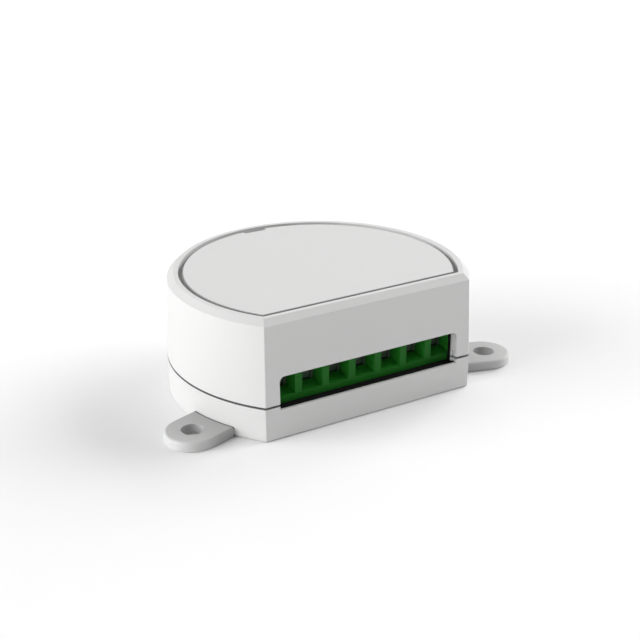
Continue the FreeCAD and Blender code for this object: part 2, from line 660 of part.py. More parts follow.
def make_base_shell():
    """Lower shell: floor, tongue, window sill, board posts and the two screw ears."""
    base = body("base_shell", y="centre_y")
    outline = sketch(base, "base_outline")
    d_outline(outline, "body_radius", "front_distance")
    block = pad(base, outline, "base_top")
    doc.recompute()
    bevel = base.newObject("PartDesign::Chamfer", "base_bevel")
    under = [f"Edge{i}" for i, e in enumerate(block.Shape.Edges, start=1) if level(e, 0)]
    bevel.Base = (block, under)
    bind(bevel, Size="base_chamfer")
    round_edges(base, "base_corners", "corner_round", at_front_corner)
    hollow = sketch(base, "base_hollow", offset="base_top")
    d_outline(hollow, "cavity_radius", "cavity_front")
    pocket(base, hollow, "base_top - floor_thickness")
    tongue = sketch(base, "tongue", offset="base_top")
    d_outline(tongue, "tongue_radius", "tongue_front")
    d_outline(tongue, "cavity_radius", "cavity_front")
    pad(base, tongue, "tongue_top - base_top")
    for name, turn in (("right", "0"), ("left", "180")):
        bead = sketch(base, f"{name}_catch", "YZ_Plane")
        start = "tongue_radius - skin_thickness / 2"
        bead.setExpression(".AttachmentOffset.Base.z", formula(
            start if turn == "0" else f"-({start}) - skin_thickness / 2 - catch_proud"))
        rectangle(bead, "-catch_width / 2", "parting_height + catch_rise",
                  "catch_width / 2", "parting_height + catch_rise + catch_height")
        pad(base, bead, "skin_thickness / 2 + catch_proud")
    sill = sketch(base, "window_sill", "XZ_Plane", "rabbet_front")
    rectangle(sill, "-window_half", "sill_height", "window_half", "body_height")
    pocket(base, sill, "skin_thickness * 2", forward=True)
    relief = sketch(base, "sill_cut", "XZ_Plane", "cavity_front - front_wall")
    rectangle(relief, "-window_inner", "relief_height", "window_inner", "body_height")
    pocket(base, relief, "rabbet_front - cavity_front + front_wall", forward=True)
    posts = sketch(base, "board_posts", offset="floor_thickness / 2")
    for side in ("-", ""):
        circle(posts, "boss_radius", f"{side}side_screw_x", "side_screw_y - centre_y")
        circle(posts, "post_radius", f"{side}post_spread", "-board_front + post_radius")
    circle(posts, "boss_radius", "0", "rear_screw_y - centre_y")
    pad(base, posts, "board_bottom - floor_thickness / 2")
    pilots = sketch(base, "pilot_holes", offset="board_bottom")
    for side in ("-", ""):
        circle(pilots, "pilot_radius", f"{side}side_screw_x", "side_screw_y - centre_y")
    circle(pilots, "pilot_radius", "0", "rear_screw_y - centre_y")
    pocket(base, pilots, "board_screw_bite + tongue_gap")
    ear = sketch(base, "ear")
    ear.AttachmentOffset = FreeCAD.Placement(Vector(), FreeCAD.Rotation(Vector(0, 0, 1), -1))
    ear.setExpression(".AttachmentOffset.Rotation.Angle", formula("-ear_angle"))
    wall = block.Shape.BoundBox.XMax
    ear_outline(ear, wall)
    plate = pad(base, ear, "ear_thickness")
    pair = base.newObject("PartDesign::Mirrored", "ear_pair")
    pair.Originals = [plate]
    pair.MirrorPlane = (next(f for f in base.Origin.OriginFeatures if f.Role == "YZ_Plane"), [""])
    base.Tip = pair

    def ear_rim(height):
        return lambda edge: level(edge, height) and outside(edge, wall)

    round_edges(base, "ear_rims", "ear_edge", ear_rim(sheet.get("ear_thickness")))
    round_edges(base, "ear_feet", "ear_foot", ear_rim(0))


def outside(edge, wall):
    """True for an open edge whose middle lies outside the round wall."""
    first, last = edge.ParameterRange
    middle = edge.valueAt((first + last) / 2)
    return math.hypot(middle.x, middle.y) > wall + TOUCH and not edge.isClosed()


def ear_outline(drawing, wall):
    """Tab along the sketch's X axis with a round end about the screw hole."""
    reach = wall + sheet.get("ear_land") + sheet.get("ear_hole_radius")
    half = sheet.get("ear_radius")
    root = wall - sheet.get("ear_bite")
    ring = Part.Circle(Vector(reach, 0, 0), Vector(0, 0, 1), half)
    arc = drawing.addGeometry(Part.ArcOfCircle(ring, -math.pi / 2, math.pi / 2), False)
    corners = [Vector(reach, half, 0), Vector(root, half, 0), Vector(root, -half, 0),
               Vector(reach, -half, 0)]
    upper = drawing.addGeometry(Part.LineSegment(corners[0], corners[1]), False)
    back = drawing.addGeometry(Part.LineSegment(corners[1], corners[2]), False)
    lower = drawing.addGeometry(Part.LineSegment(corners[2], corners[3]), False)
    drawing.addConstraint(Sketcher.Constraint("Tangent", arc, 2, upper, 1))
    drawing.addConstraint(Sketcher.Constraint("Coincident", upper, 2, back, 1))
    drawing.addConstraint(Sketcher.Constraint("Coincident", back, 2, lower, 1))
    drawing.addConstraint(Sketcher.Constraint("Tangent", lower, 2, arc, 1))
    drawing.addConstraint(Sketcher.Constraint("Horizontal", upper))
    drawing.addConstraint(Sketcher.Constraint("Horizontal", lower))
    drawing.addConstraint(Sketcher.Constraint("Vertical", back))
    drawing.addConstraint(Sketcher.Constraint("PointOnObject", arc, 3, -1))
    tie_radius(drawing, arc, "ear_radius", half)
    tie(drawing, "DistanceX", arc, 3, "ear_reach", reach)
    tie(drawing, "DistanceX", back, 1, "body_radius - ear_bite", root)
    circle(drawing, "ear_hole_radius", "ear_reach", "0")


def make_lid():
    """Flat lid that lies in the recess, with locating tabs and a pry notch at the rear."""
    lid = body("lid", y="centre_y")
    plate = sketch(lid, "lid_plate", offset="deck_top")
    d_outline(plate, "lid_radius", "lid_front")
    pad(lid, plate, "lid_thickness")
    notch = sketch(lid, "pry_notch", offset="lid_top")
    rectangle(notch, "-notch_width / 2", "lid_radius - notch_depth",
              "notch_width / 2", "lid_radius + notch_depth")
    pocket(lid, notch, "lid_thickness")
    high = sheet.get("body_height") - sheet.get("lid_drop")
    round_edges(lid, "lid_rim", "lid_edge", lambda e: level(e, high))
    tabs = sketch(lid, "lid_tabs", offset="deck_top + lid_thickness / 2")
    for side in ("-", ""):
        for spread, y in (("tab_spread", "tab_rear_y"), ("tab_front_spread", "tab_front_y")):
            rectangle(tabs, f"{side}{spread} - tab_length / 2", f"{y} - tab_thickness / 2",
                      f"{side}{spread} + tab_length / 2", f"{y} + tab_thickness / 2")
    down = pad(lid, tabs, "tab_depth + lid_thickness / 2")
    down.Reversed = True


# Circuit board and terminals

def make_circuit_board():
    board = body("circuit_board", y="centre_y")
    outline = sketch(board, "board_outline", offset="board_bottom")
    d_outline(outline, "board_radius", "board_front")
    pad(board, outline, "board_thickness")
    holes = sketch(board, "board_holes", offset="board_top")
    for n in range(POLES):
        circle(holes, "tail_hole_radius", pole_x(n), "block_front + tail_y - centre_y")
    for side in ("-", ""):
        circle(holes, "board_hole_radius", f"{side}side_screw_x", "side_screw_y - centre_y")
    circle(holes, "board_hole_radius", "0", "rear_screw_y - centre_y")
    pocket(board, holes, "board_thickness")


def make_terminal_housing():
    """Block with a tapered wire pocket, a cage shaft and a screw bore for each pole."""
    block = body("terminal_housing", y="block_front", z="board_top")
    outline = sketch(block, "block_outline")
    rectangle(outline, "-block_half", "0", "block_half", "block_depth")
    pad(block, outline, "block_height")
    mouth = sketch(block, "pocket_mouth", "XZ_Plane")
    half = "(pole_pitch - rib_width) / 2"
    rectangle(mouth, f"first_pole - {half}", "pocket_lip", f"first_pole + {half}", "pocket_top")
    throat = sketch(block, "pocket_throat", "XZ_Plane", "-pocket_depth")
    half = "((pole_pitch - rib_width) / 2 - pocket_taper)"
    rectangle(throat, f"first_pole - {half}", "pocket_lip + pocket_rise",
              f"first_pole + {half}", "pocket_top")
    funnel = block.newObject("PartDesign::SubtractiveLoft", "wire_pocket")
    funnel.Profile = mouth
    funnel.Sections = [throat]
    funnel.Ruled = True
    shaft = sketch(block, "cage_shaft", offset="shaft_floor")
    rectangle(shaft, "first_pole - shaft_half", "pocket_depth",
              "first_pole + shaft_half", "shaft_back")
    shaft_cut = pocket(block, shaft, "head_seat - shaft_floor", forward=True)
    slot = sketch(block, "leg_slot", offset="shaft_floor")
    reach = "bar_width / 2 + bar_slot_play"
    rectangle(slot, f"first_pole - ({reach})", "shaft_back - bar_slot_play",
              f"first_pole + {reach}", "leg_back + bar_slot_play")
    slot_cut = pocket(block, slot, "bar_high + bar_slot_play - shaft_floor", forward=True)
    tail = sketch(block, "tail_slot", offset="shaft_floor")
    reach = "tail_width / 2 + bar_slot_play"
    rectangle(tail, f"first_pole - ({reach})", "leg_front - bar_slot_play",
              f"first_pole + {reach}", "leg_back + bar_slot_play")
    tail_cut = pocket(block, tail, "shaft_floor")
    bore = sketch(block, "head_bore", offset="block_height")
    circle(bore, "head_bore_radius", "first_pole", "screw_y")
    bore_cut = pocket(block, bore, "block_height - head_seat")
    row_of_poles(block, "poles", funnel, shaft_cut, slot_cut, tail_cut, bore_cut)


def make_terminal_screw(n):
    """Slotted clamping screw that turns in place under the deck's driver hole."""
    x = pole_x(n)
    y = "block_front + screw_y"
    name = f"terminal_screw_{n + 1}"
    head = cylinder(f"{name}_head", "head_radius", "head_height", x, y, "board_top + head_low")
    thread = cylinder(f"{name}_thread", "thread_radius", "head_low - bar_high - head_play",
                      x, y, "board_top + bar_high + head_play")
    slot = box(f"{name}_slot", "head_radius * 3", "slot_width", "slot_depth * 2",
               x, y, "board_top + head_low + head_height - slot_depth")
    node(cut(f"{name}_slotted", fuse(f"{name}_turned", head, thread), slot), name)


def make_clamp_cage(n):
    """Rising cage: a metal loop with a threaded plate over the wire opening."""
    x = pole_x(n)
    y = "block_front + screw_y"
    name = f"clamp_cage_{n + 1}"
    outer = box(f"{name}_outer", "cage_width", "cage_depth", "cage_high - cage_low",
                x, y, "board_top + cage_low")
    loop = box(f"{name}_loop", "cage_width - 2 * cage_wall", "cage_depth * 2",
               "nut_low - cage_low - cage_floor", x, y, "board_top + cage_low + cage_floor")
    thread = cylinder(f"{name}_thread", "thread_radius + thread_play", "cage_nut * 3",
                      x, y, "board_top + nut_low - cage_nut")
    node(cut(f"{name}_formed", outer, loop, thread), name)


def make_terminal_contacts():
    """One bent strip a pole: bar over the wire, leg behind the cage, tail through the board."""
    strips = []
    for n in range(POLES):
        x = pole_x(n)
        name = f"contact_{n + 1}"
        bar_front = "(cage_front + bar_front_gap)"
        bar = box(f"{name}_bar", "bar_width", f"leg_back - {bar_front}", "bar_thickness",
                  x, f"block_front + (leg_back + {bar_front}) / 2", "board_top + bar_low")
        leg = box(f"{name}_leg", "bar_width", "bar_thickness", "bar_high - shaft_floor",
                  x, "block_front + tail_y", "board_top + shaft_floor")
        tail = box(f"{name}_tail", "tail_width", "bar_thickness",
                   "board_thickness + tail_reach + shaft_floor",
                   x, "block_front + tail_y", "board_bottom - tail_reach")
        strips.append(fuse(name, bar, leg, tail))
    node(group("contact_strips", *strips), "terminal_contacts")


def make_board_screws():
    screws = []
    spots = (("-side_screw_x", "side_screw_y"), ("side_screw_x", "side_screw_y"),
             ("0", "rear_screw_y"))
    for n, (x, y) in enumerate(spots):
        name = f"board_screw_{n + 1}"
        head = cylinder(f"{name}_head", "board_screw_head", "board_screw_head_height",
                        x, y, "board_top")
        thread = cylinder(f"{name}_thread", "board_screw_radius",
                          "board_thickness + board_screw_bite", x, y,
                          "board_bottom - board_screw_bite")
        slots = [box(f"{name}_slot_{k}", long, wide, "board_screw_head_height",
                     x, y, "board_top + board_screw_head_height - cross_depth")
                 for k, (long, wide) in enumerate((("cross_length", "slot_width"),
                                                   ("slot_width", "cross_length")))]
        screws.append(cut(name, fuse(f"{name}_turned", head, thread), *slots))
    node(group("board_screw_set", *screws), "board_screws")


# Parts on the board

def make_relay(side, name):
    case = box(f"{name}_case", "relay_length", "relay_width", "relay_height",
               f"{side}relay_x", "relay_y", "board_top")
    node(bevelled(f"{name}_bevelled", case, "relay_edge", at_top), name)


def make_film_capacitor():
    case = box("film_case", "film_length", "film_width", "film_height",
               "film_x", "film_y", "board_top")
    node(bevelled("film_bevelled", case, "can_bevel", at_top), "film_capacitor")


def make_fuse_resistor():
    y = "row_one + fuse_radius"
    barrel = cylinder("fuse_barrel", "fuse_radius", "fuse_height", "fuse_x", y,
                      "board_top + lead_rise")
    lead = cylinder("fuse_lead", "lead_radius", "lead_rise * 2", "fuse_x", y, "board_top")
    node(fuse("fuse_parts", barrel, lead), "fuse_resistor")


def make_varistor():
    """Coated disc standing on two leads."""
    y = "(row_one + varistor_thickness / 2)"
    disc = cylinder("varistor_disc", "varistor_radius", "varistor_thickness", "varistor_x",
                    f"{y} + varistor_thickness / 2", "board_top + lead_rise + varistor_radius")
    disc.Placement.Rotation = FreeCAD.Rotation(Vector(1, 0, 0), 90)
    leads = [cylinder(f"varistor_lead_{k}", "lead_radius", "lead_rise + varistor_radius",
                      f"varistor_x {way} varistor_leads / 2", y, "board_top")
             for k, way in enumerate("-+")]
    node(fuse("varistor_parts", disc, *leads), "varistor")


def make_choke():
    """Drum core with its winding between two flanges."""
    y = "row_one + choke_radius"
    drum = cylinder("choke_drum", "choke_radius - choke_waist * 2", "choke_height",
                    "choke_x", y, "board_top")
    low = cylinder("choke_low", "choke_radius", "choke_flange", "choke_x", y, "board_top")
    high = cylinder("choke_high", "choke_radius", "choke_flange", "choke_x", y,
                    "board_top + choke_height - choke_flange")
    node(fuse("choke_parts", drum, low, high), "choke_core")
    coil = cylinder("choke_coil", "choke_radius - choke_waist", "choke_height - 2 * choke_flange",
                    "choke_x", y, "board_top + choke_flange")
    core = cylinder("choke_bore", "choke_radius - choke_waist * 2", "choke_height",
                    "choke_x", y, "board_top")
    node(cut("choke_turns", coil, core), "choke_winding")


def make_indicator():
    lamp = box("lamp", "led_length", "led_width", "led_height", "led_x", "switch_y", "board_top")
    node(lamp, "indicator_led")
    stem = cylinder("pipe_stem", "pipe_radius", "deck_top - pipe_low", "led_x", "switch_y",
                    "pipe_low")
    flange = cylinder("pipe_flange", "pipe_flange_radius", "pipe_flange_height", "led_x",
                      "switch_y", "deck_bottom - pipe_flange_height")
    node(fuse("pipe_parts", stem, flange), "light_pipe")


def make_programming_switch():
    case = box("switch_block", "switch_width", "switch_width", "switch_height",
               "switch_x", "switch_y", "board_top")
    well = cylinder("switch_well", "plunger_radius + plunger_play", "switch_height",
                    "switch_x", "switch_y", "plunger_low - button_travel - plunger_play")
    node(cut("switch_body", case, well), "switch_case")
    plunger = cylinder("plunger", "plunger_radius", "plunger_top - plunger_low",
                       "switch_x", "switch_y", "plunger_low")
    node(plunger, "switch_plunger")
    stem = cylinder("button_stem", "button_radius", "button_top - plunger_top",
                    "switch_x", "switch_y", "plunger_top")
    flange = cylinder("button_flange", "button_flange_radius", "button_flange_height",
                      "switch_x", "switch_y", "collar_low - flange_play - button_flange_height")
    node(fuse("button_parts", stem, flange), "programming_button")


def make_transformer():
    """Ferrite core of two outer legs, two yokes and a middle leg, round a wound bobbin."""
    foot = "board_top + core_lift"
    outer = box("core_outer", "core_length", "core_width", "core_height", "0", "coil_y", foot)
    gap = "(core_length - 2 * core_leg - core_centre) / 2"
    windows = [box(f"core_window_{k}", gap, "core_width * 2", "core_height - 2 * core_yoke",
                   f"{way}((core_centre + {gap}) / 2)", "coil_y", f"{foot} + core_yoke")
               for k, way in enumerate(("-", ""))]
    node(cut("core_formed", outer, *windows), "transformer_core")
    span = "core_height - 2 * core_yoke - 2 * bobbin_play"
    low = f"{foot} + core_yoke + bobbin_play"
    wide = "core_centre + 2 * (bobbin_play + bobbin_wall)"
    deep = "core_width + 2 * (bobbin_play + bobbin_wall)"
    reach = "(core_length - 2 * core_leg - 2 * bobbin_play)"
    tube = box("bobbin_tube", wide, deep, span, "0", "coil_y", low)
    plates = [box(f"bobbin_plate_{k}", reach, "bobbin_width", "bobbin_wall", "0", "coil_y", z)
              for k, z in enumerate((low, f"{low} + {span} - bobbin_wall"))]
    feet = [box(f"bobbin_foot_{k}", reach, "(bobbin_width - core_width) / 2 - bobbin_play",
                "core_lift + core_yoke + bobbin_play + bobbin_wall", "0",
                f"coil_y {way} ((bobbin_width + core_width) / 4 + bobbin_play / 2)", "board_top")
            for k, way in enumerate("-+")]
    hole = box("bobbin_hole", "core_centre + 2 * bobbin_play", "core_width + 2 * bobbin_play",
               "core_height * 2", "0", "coil_y", "board_top - core_height / 2")
    node(cut("bobbin_formed", fuse("bobbin_parts", tube, *plates, *feet), hole),
         "transformer_bobbin")
    coil = box("coil_block", f"{reach} - 2 * coil_inset", "bobbin_width - 2 * coil_inset",
               f"{span} - 2 * bobbin_wall", "0", "coil_y", f"{low} + bobbin_wall")
    core = box("coil_hole", wide, deep, "core_height * 2", "0", "coil_y",
               "board_top - core_height / 2")
    node(cut("coil_formed", coil, core), "transformer_winding")


def make_capacitor_can(name, radius, height, x, y):
    can = cylinder(f"{name}_can", radius, height, x, y, "board_top")
    node(bevelled(f"{name}_bevelled", can, "can_bevel", at_top), name)


def make_radio():
    """Radio board standing on edge, its chip and crystal, and the bent wire antenna."""
    board = box("radio_plate", "radio_length", "radio_thickness", "radio_height",
                "radio_x", "radio_y", "board_top")
    node(board, "radio_board")
    face = "radio_y + radio_thickness / 2"
    chip = box("radio_chip_block", "radio_chip", "radio_chip_height", "radio_chip",
               "radio_x - radio_chip_shift", f"{face} + radio_chip_height / 2",
               "board_top + (radio_height - radio_chip) / 2")
    node(chip, "radio_chip")
    crystal = box("crystal_block", "crystal_width", "crystal_height", "crystal_length",
                  "radio_x + crystal_shift", f"{face} + crystal_height / 2",
                  "board_top + (radio_height - crystal_length) / 2")
    node(crystal, "crystal")
    arc = doc.addObject("Part::Torus", "antenna_arc")
    bind(arc, Radius1="antenna_ring", Radius2="antenna_radius", Angle3="antenna_sweep_angle")
    place(arc, "0", "centre_y", "board_top + antenna_height")
    arc.setExpression("Placement.Rotation.Angle", formula("antenna_start_angle"))
    turn = "(antenna_start_angle + antenna_sweep_angle)"
    leg = cylinder("antenna_leg", "antenna_radius", "antenna_height",
                   f"antenna_ring * cos{turn}", f"centre_y + antenna_ring * sin{turn}",
                   "board_top")
    elbow = doc.addObject("Part::Sphere", "antenna_elbow")
    bind(elbow, Radius="antenna_radius")
    place(elbow, f"antenna_ring * cos{turn}", f"centre_y + antenna_ring * sin{turn}",
          "board_top + antenna_height")
    node(fuse("antenna_parts", arc, leg, elbow), "antenna")


def make_underside_parts():
    """Controller and rectifier diodes soldered under the board."""
    controller = box("controller", "controller_width", "controller_width", "controller_height",
                     "0", "relay_y", "board_bottom - controller_height")
    node(controller, "controller_chip")
    diodes = [box(f"diode_{i}{j}", "diode_length", "diode_width", "diode_height",
                  f"-relay_x + diode_pitch_x * ({i} - 0.5)",
                  f"relay_y + diode_pitch_y * ({j} - 0.5)", "board_bottom - diode_height")
              for i in range(2) for j in range(2)]
    node(group("diode_bridge", *diodes), "rectifier_diodes")


def check_and_export():
    """Stop on anything that failed, then write one file a node."""
    doc.recompute()
    for thing in doc.Objects:
        if "Invalid" in thing.State or "Error" in thing.State:
            raise RuntimeError(f"{thing.Name} ({thing.Label}) is {thing.State}")
    for piece in NODES:
        shape = piece.Shape
        if shape.isNull() or not shape.isValid() or not shape.Solids:
            raise RuntimeError(f"{piece.Label} has no valid solid")
        shape.exportStep(f"parts/{piece.Label}.step")
        print(f"{piece.Label}: {len(shape.Solids)} solid(s), {shape.Volume:.1f} mm3")


make_base_shell()
make_top_shell()
make_lid()
make_circuit_board()
make_terminal_housing()
for pole in range(POLES):
    make_terminal_screw(pole)
    make_clamp_cage(pole)
make_terminal_contacts()
make_board_screws()
make_relay("-", "relay_left")
make_relay("", "relay_right")
make_film_capacitor()
make_fuse_resistor()
make_varistor()
make_choke()
make_indicator()
make_programming_switch()
make_transformer()
make_capacitor_can("reservoir_capacitor", "bulk_radius", "bulk_height", "bulk_x", "bulk_y")
make_capacitor_can("output_capacitor", "output_radius", "output_height", "output_x", "output_y")
chip = box("power_chip_block", "chip_length", "chip_width", "chip_height",
           "chip_x", "row_two + chip_width / 2", "board_top")
node(chip, "power_chip")
make_radio()
make_underside_parts()
check_and_export()
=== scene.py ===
import math

import bmesh
import bpy
from bpy.props import FloatProperty, FloatVectorProperty, PointerProperty
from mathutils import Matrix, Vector


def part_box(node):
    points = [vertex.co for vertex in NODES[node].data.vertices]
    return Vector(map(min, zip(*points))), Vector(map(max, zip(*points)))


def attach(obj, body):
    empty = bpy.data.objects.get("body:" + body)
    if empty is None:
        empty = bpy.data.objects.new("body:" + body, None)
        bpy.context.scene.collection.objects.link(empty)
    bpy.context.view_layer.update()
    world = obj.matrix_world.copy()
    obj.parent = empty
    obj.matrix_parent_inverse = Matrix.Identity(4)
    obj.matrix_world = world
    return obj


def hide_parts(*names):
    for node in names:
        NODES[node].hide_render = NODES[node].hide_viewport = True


bl_info = {
    "name": "Lighting Control Unit",
    "version": (1, 0, 0),
    "blender": (4, 5, 0),
    "location": "3D View > Sidebar > Control Unit",
    "description": "Finishes, small parts and studio for a lighting control unit",
    "category": "Object",
}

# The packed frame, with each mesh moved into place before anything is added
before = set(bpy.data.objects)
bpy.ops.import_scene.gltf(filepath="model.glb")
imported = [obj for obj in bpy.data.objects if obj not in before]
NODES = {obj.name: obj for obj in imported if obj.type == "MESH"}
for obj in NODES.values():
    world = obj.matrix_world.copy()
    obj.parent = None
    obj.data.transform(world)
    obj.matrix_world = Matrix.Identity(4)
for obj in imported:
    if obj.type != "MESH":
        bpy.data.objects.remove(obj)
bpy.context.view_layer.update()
MM = 0.001
POLES = 7
# The round wall's axis and radius at the parting line
ROUND_CENTRE_Y = -4.5 * MM
ROUND_RADIUS = 25.8 * MM
# Heights of the parting line and of the ears' upper side
PARTING_HEIGHT = 5.9 * MM
EAR_TOP = 1.7 * MM


def length(label, meaning, default):
    return FloatProperty(name=label, description=meaning, default=default, unit="LENGTH",
                         precision=6, min=0.0)


def colour(label, meaning, default):
    return FloatVectorProperty(name=label, description=meaning, default=default, size=3,
                               subtype="COLOR", min=0.0, max=1.0)


def share(label, meaning, default):
    return FloatProperty(name=label, description=meaning, default=default, subtype="FACTOR",
                         min=0.0, max=1.0)


def power(label, meaning, default):
    return FloatProperty(name=label, description=meaning, default=default, unit="POWER", min=0.0)


def spot(label, meaning, default):
    return FloatVectorProperty(name=label, description=meaning, default=default, size=3,
                               unit="LENGTH", precision=6)


# Settings that a user would change

class ControlUnitCase(bpy.types.PropertyGroup):
    """White moulded case"""
    shell: colour("Shell", "Colour of the two shells and the lid", (0.64, 0.64, 0.637))
    roughness: share("Roughness", "Satin of the moulded case", 0.58)
    grain: length("Grain", "Spark eroded grain of the mould", 0.16 * MM)
    grain_depth: length("Grain depth", "Height of that grain", 0.003 * MM)
    button: colour("Button", "Colour of the programming button", (0.62, 0.62, 0.61))
    # Strength of the painted shade in the parting line and round the lid
    painted_shade: share("Seam shade", "Painted shade in the parting line and round the lid", 0.78)
    # Strength of the painted shade on the ears towards the wall
    ear_shade: share("Ear shade", "Painted shade on the ears beside the wall", 0.36)


class ControlUnitTerminals(bpy.types.PropertyGroup):
    """Screw terminals"""
    housing: colour("Housing", "Green terminal block", (0.026, 0.260, 0.026))
    # Darker colour painted on the block's front faces as shade
    front: colour("Housing front", "Painted shade on the front faces of the block", (0.013, 0.126, 0.013))
    roughness: share("Roughness", "Gloss of the terminal block", 0.38)
    screw: colour("Screw", "Plated screws", (0.72, 0.72, 0.70))
    cage: colour("Cage", "Dark plated clamp cages", (0.100, 0.145, 0.100))
    contact: colour("Contact", "Tinned contacts and solder", (0.46, 0.46, 0.45))


class ControlUnitBoard(bpy.types.PropertyGroup):
    """Circuit board"""
    mask: colour("Solder mask", "Green lacquer over bare laminate", (0.012, 0.075, 0.032))
    track: colour("Tracks", "Green lacquer over copper", (0.020, 0.125, 0.052))
    laminate: colour("Laminate", "Cut edge of the board", (0.42, 0.36, 0.20))
    track_pitch: length("Track pitch", "Spacing of the larger copper areas", 5.2 * MM)
    ink: colour("Ink", "Printed outlines round the parts", (0.78, 0.78, 0.74))


class ControlUnitStage(bpy.types.PropertyGroup):
    """Floor, lights and camera"""
    floor: colour("Floor", "Pale floor", (0.90, 0.90, 0.90))
    floor_size: length("Floor size", "Side of the floor", 6.0)
    world: FloatProperty(name="Surroundings", description="White light from all round",
                         default=0.18, min=0.0)
    left: power("Left", "Low light at the left", 55.0)
    left_high: power("High left", "Raised light at the left", 17.5)
    right: power("Right", "Raised light at the right", 55.5)
    rear: power("Rear", "Weak light at the right rear", 10.6)
    front: power("Front", "Weak light at the left front", 2.4)
    reach: length("Light distance", "Lights from the middle of the unit", 2.0)
    light_size: length("Light size", "Side of each square light", 2.0)
    tent_radius: length("Tent radius", "Round white tent that only the camera sees", 1.5)
    eye: spot("Camera", "Where the camera stands", (-0.10104, -0.17146, 0.09263))
    aim: spot("Aim", "What the camera looks at", (-0.009833, -0.0213, 0.018747))
    lens: FloatProperty(name="Lens", default=69.71, min=1.0,
                        description="Focal length on a 36 mm wide sensor, in millimetres")


# Materials

def add(tree, kind, settings=None, **inputs):
    """Add a node, with sockets named by words joined with underscores."""
    made = tree.nodes.new(kind)
    for key, value in (settings or {}).items():
        setattr(made, key, value)
    for key, value in inputs.items():
        feed(tree, made.inputs[key.replace("_", " ")], value)
    return made


def feed(tree, socket, value):
    if isinstance(value, bpy.types.NodeSocket):
        tree.links.new(value, socket)
    else:
        socket.default_value = value


def maths(tree, operation, *values):
    made = tree.nodes.new("ShaderNodeMath")
    made.operation = operation
    for socket, value in zip(made.inputs, values):
        feed(tree, socket, value)
    return made.outputs[0]


def between(tree, factor, low, high):
    """Blend two colours by a mask."""
    made = tree.nodes.new("ShaderNodeMix")
    made.data_type = "RGBA"
    feed(tree, made.inputs[0], factor)
    for socket, value in ((made.inputs[6], low), (made.inputs[7], high)):
        feed(tree, socket, value if isinstance(value, bpy.types.NodeSocket) else (*value, 1.0))
    return made.outputs[2]


def spread(tree, value, low, high, to_low, to_high):
    """Map a value from one range to another."""
    made = add(tree, "ShaderNodeMapRange", None, Value=value, From_Min=low, From_Max=high,
               To_Min=to_low, To_Max=to_high)
    return made.outputs[0]


def new_group(name, settings, *outputs):
    """Start a shader node group that takes a place and settings, and puts out masks."""
    tree = bpy.data.node_groups.new(name, "ShaderNodeTree")
    tree.interface.new_socket("Place", in_out="INPUT", socket_type="NodeSocketVector")
    for label, default in settings.items():
        socket = tree.interface.new_socket(label, in_out="INPUT", socket_type="NodeSocketFloat")
        socket.default_value = default
    for label in outputs:
        tree.interface.new_socket(label, in_out="OUTPUT", socket_type="NodeSocketFloat")
    return tree, tree.nodes.new("NodeGroupInput").outputs, tree.nodes.new("NodeGroupOutput").inputs


def put_out(tree, outputs, **masks):
    for name, mask in masks.items():
        tree.links.new(mask, outputs[name])
    return tree


def moulded_skin():
    """Fine grain of a mould and slow patches of the plastic."""
    tree, given, result = new_group("Moulded skin", {"Grain": 6000.0, "Patch": 90.0},
                                    "Height", "Patches", "Specks")
    fine = add(tree, "ShaderNodeTexNoise", None, Vector=given["Place"], Scale=given["Grain"],
               Detail=3.0, Roughness=0.6)
    pits = add(tree, "ShaderNodeTexVoronoi", {"feature": "SMOOTH_F1"}, Vector=given["Place"],
               Scale=given["Grain"], Smoothness=0.6).outputs["Distance"]
    slow = add(tree, "ShaderNodeTexNoise", None, Vector=given["Place"], Scale=given["Patch"],
               Detail=4.0, Roughness=0.55, Distortion=0.4)
    return put_out(tree, result,
                   Height=maths(tree, "MULTIPLY_ADD", pits, -0.5, fine.outputs["Fac"]),
                   Patches=spread(tree, slow.outputs["Fac"], 0.3, 0.7, 0.0, 1.0),
                   Specks=spread(tree, pits, 0.05, 0.35, 1.0, 0.0))


def fine_scratches():
    """Short hair scratches in two directions, and a slow wipe."""
    tree, given, result = new_group("Fine scratches", {"Fineness": 4000.0}, "Lines", "Wipe")
    lines = []
    for turn, stretch in (((0.0, 0.0, 0.4), (1.0, 0.05, 0.3)), ((0.0, 0.3, 1.9), (1.0, 0.04, 0.3))):
        mapped = add(tree, "ShaderNodeMapping", None, Vector=given["Place"], Rotation=turn,
                     Scale=stretch)
        hair = add(tree, "ShaderNodeTexNoise", None, Vector=mapped.outputs[0],
                   Scale=given["Fineness"], Detail=2.0)
        lines.append(spread(tree, hair.outputs["Fac"], 0.60, 0.72, 0.0, 1.0))
    wipe = add(tree, "ShaderNodeTexNoise", None, Vector=given["Place"], Scale=260.0, Detail=4.0)
    return put_out(tree, result, Lines=maths(tree, "MAXIMUM", *lines),
                   Wipe=spread(tree, wipe.outputs["Fac"], 0.3, 0.7, 0.0, 1.0))


def copper_layout():
    """Copper areas and tracks under the lacquer, with mitred corners, and small round vias."""
    tree, given, result = new_group("Copper layout", {"Density": 190.0},
                                    "Copper", "Vias", "Height")
    areas = add(tree, "ShaderNodeTexVoronoi",
                {"distance": "CHEBYCHEV", "voronoi_dimensions": "2D"},
                Vector=given["Place"], Scale=given["Density"], Randomness=0.85)
    rings = maths(tree, "FRACT", maths(tree, "MULTIPLY", areas.outputs["Distance"], 5.0))
    copper = maths(tree, "MAXIMUM", spread(tree, rings, 0.30, 0.34, 1.0, 0.0),
                   spread(tree, rings, 0.93, 0.97, 0.0, 1.0))
    spots = add(tree, "ShaderNodeTexVoronoi", {"voronoi_dimensions": "2D"}, Vector=given["Place"],
                Scale=maths(tree, "MULTIPLY", given["Density"], 1.9), Randomness=0.7)
    vias = spread(tree, spots.outputs["Distance"], 0.09, 0.11, 1.0, 0.0)
    return put_out(tree, result, Copper=copper, Vias=vias,
                   Height=maths(tree, "MAXIMUM", copper, vias))


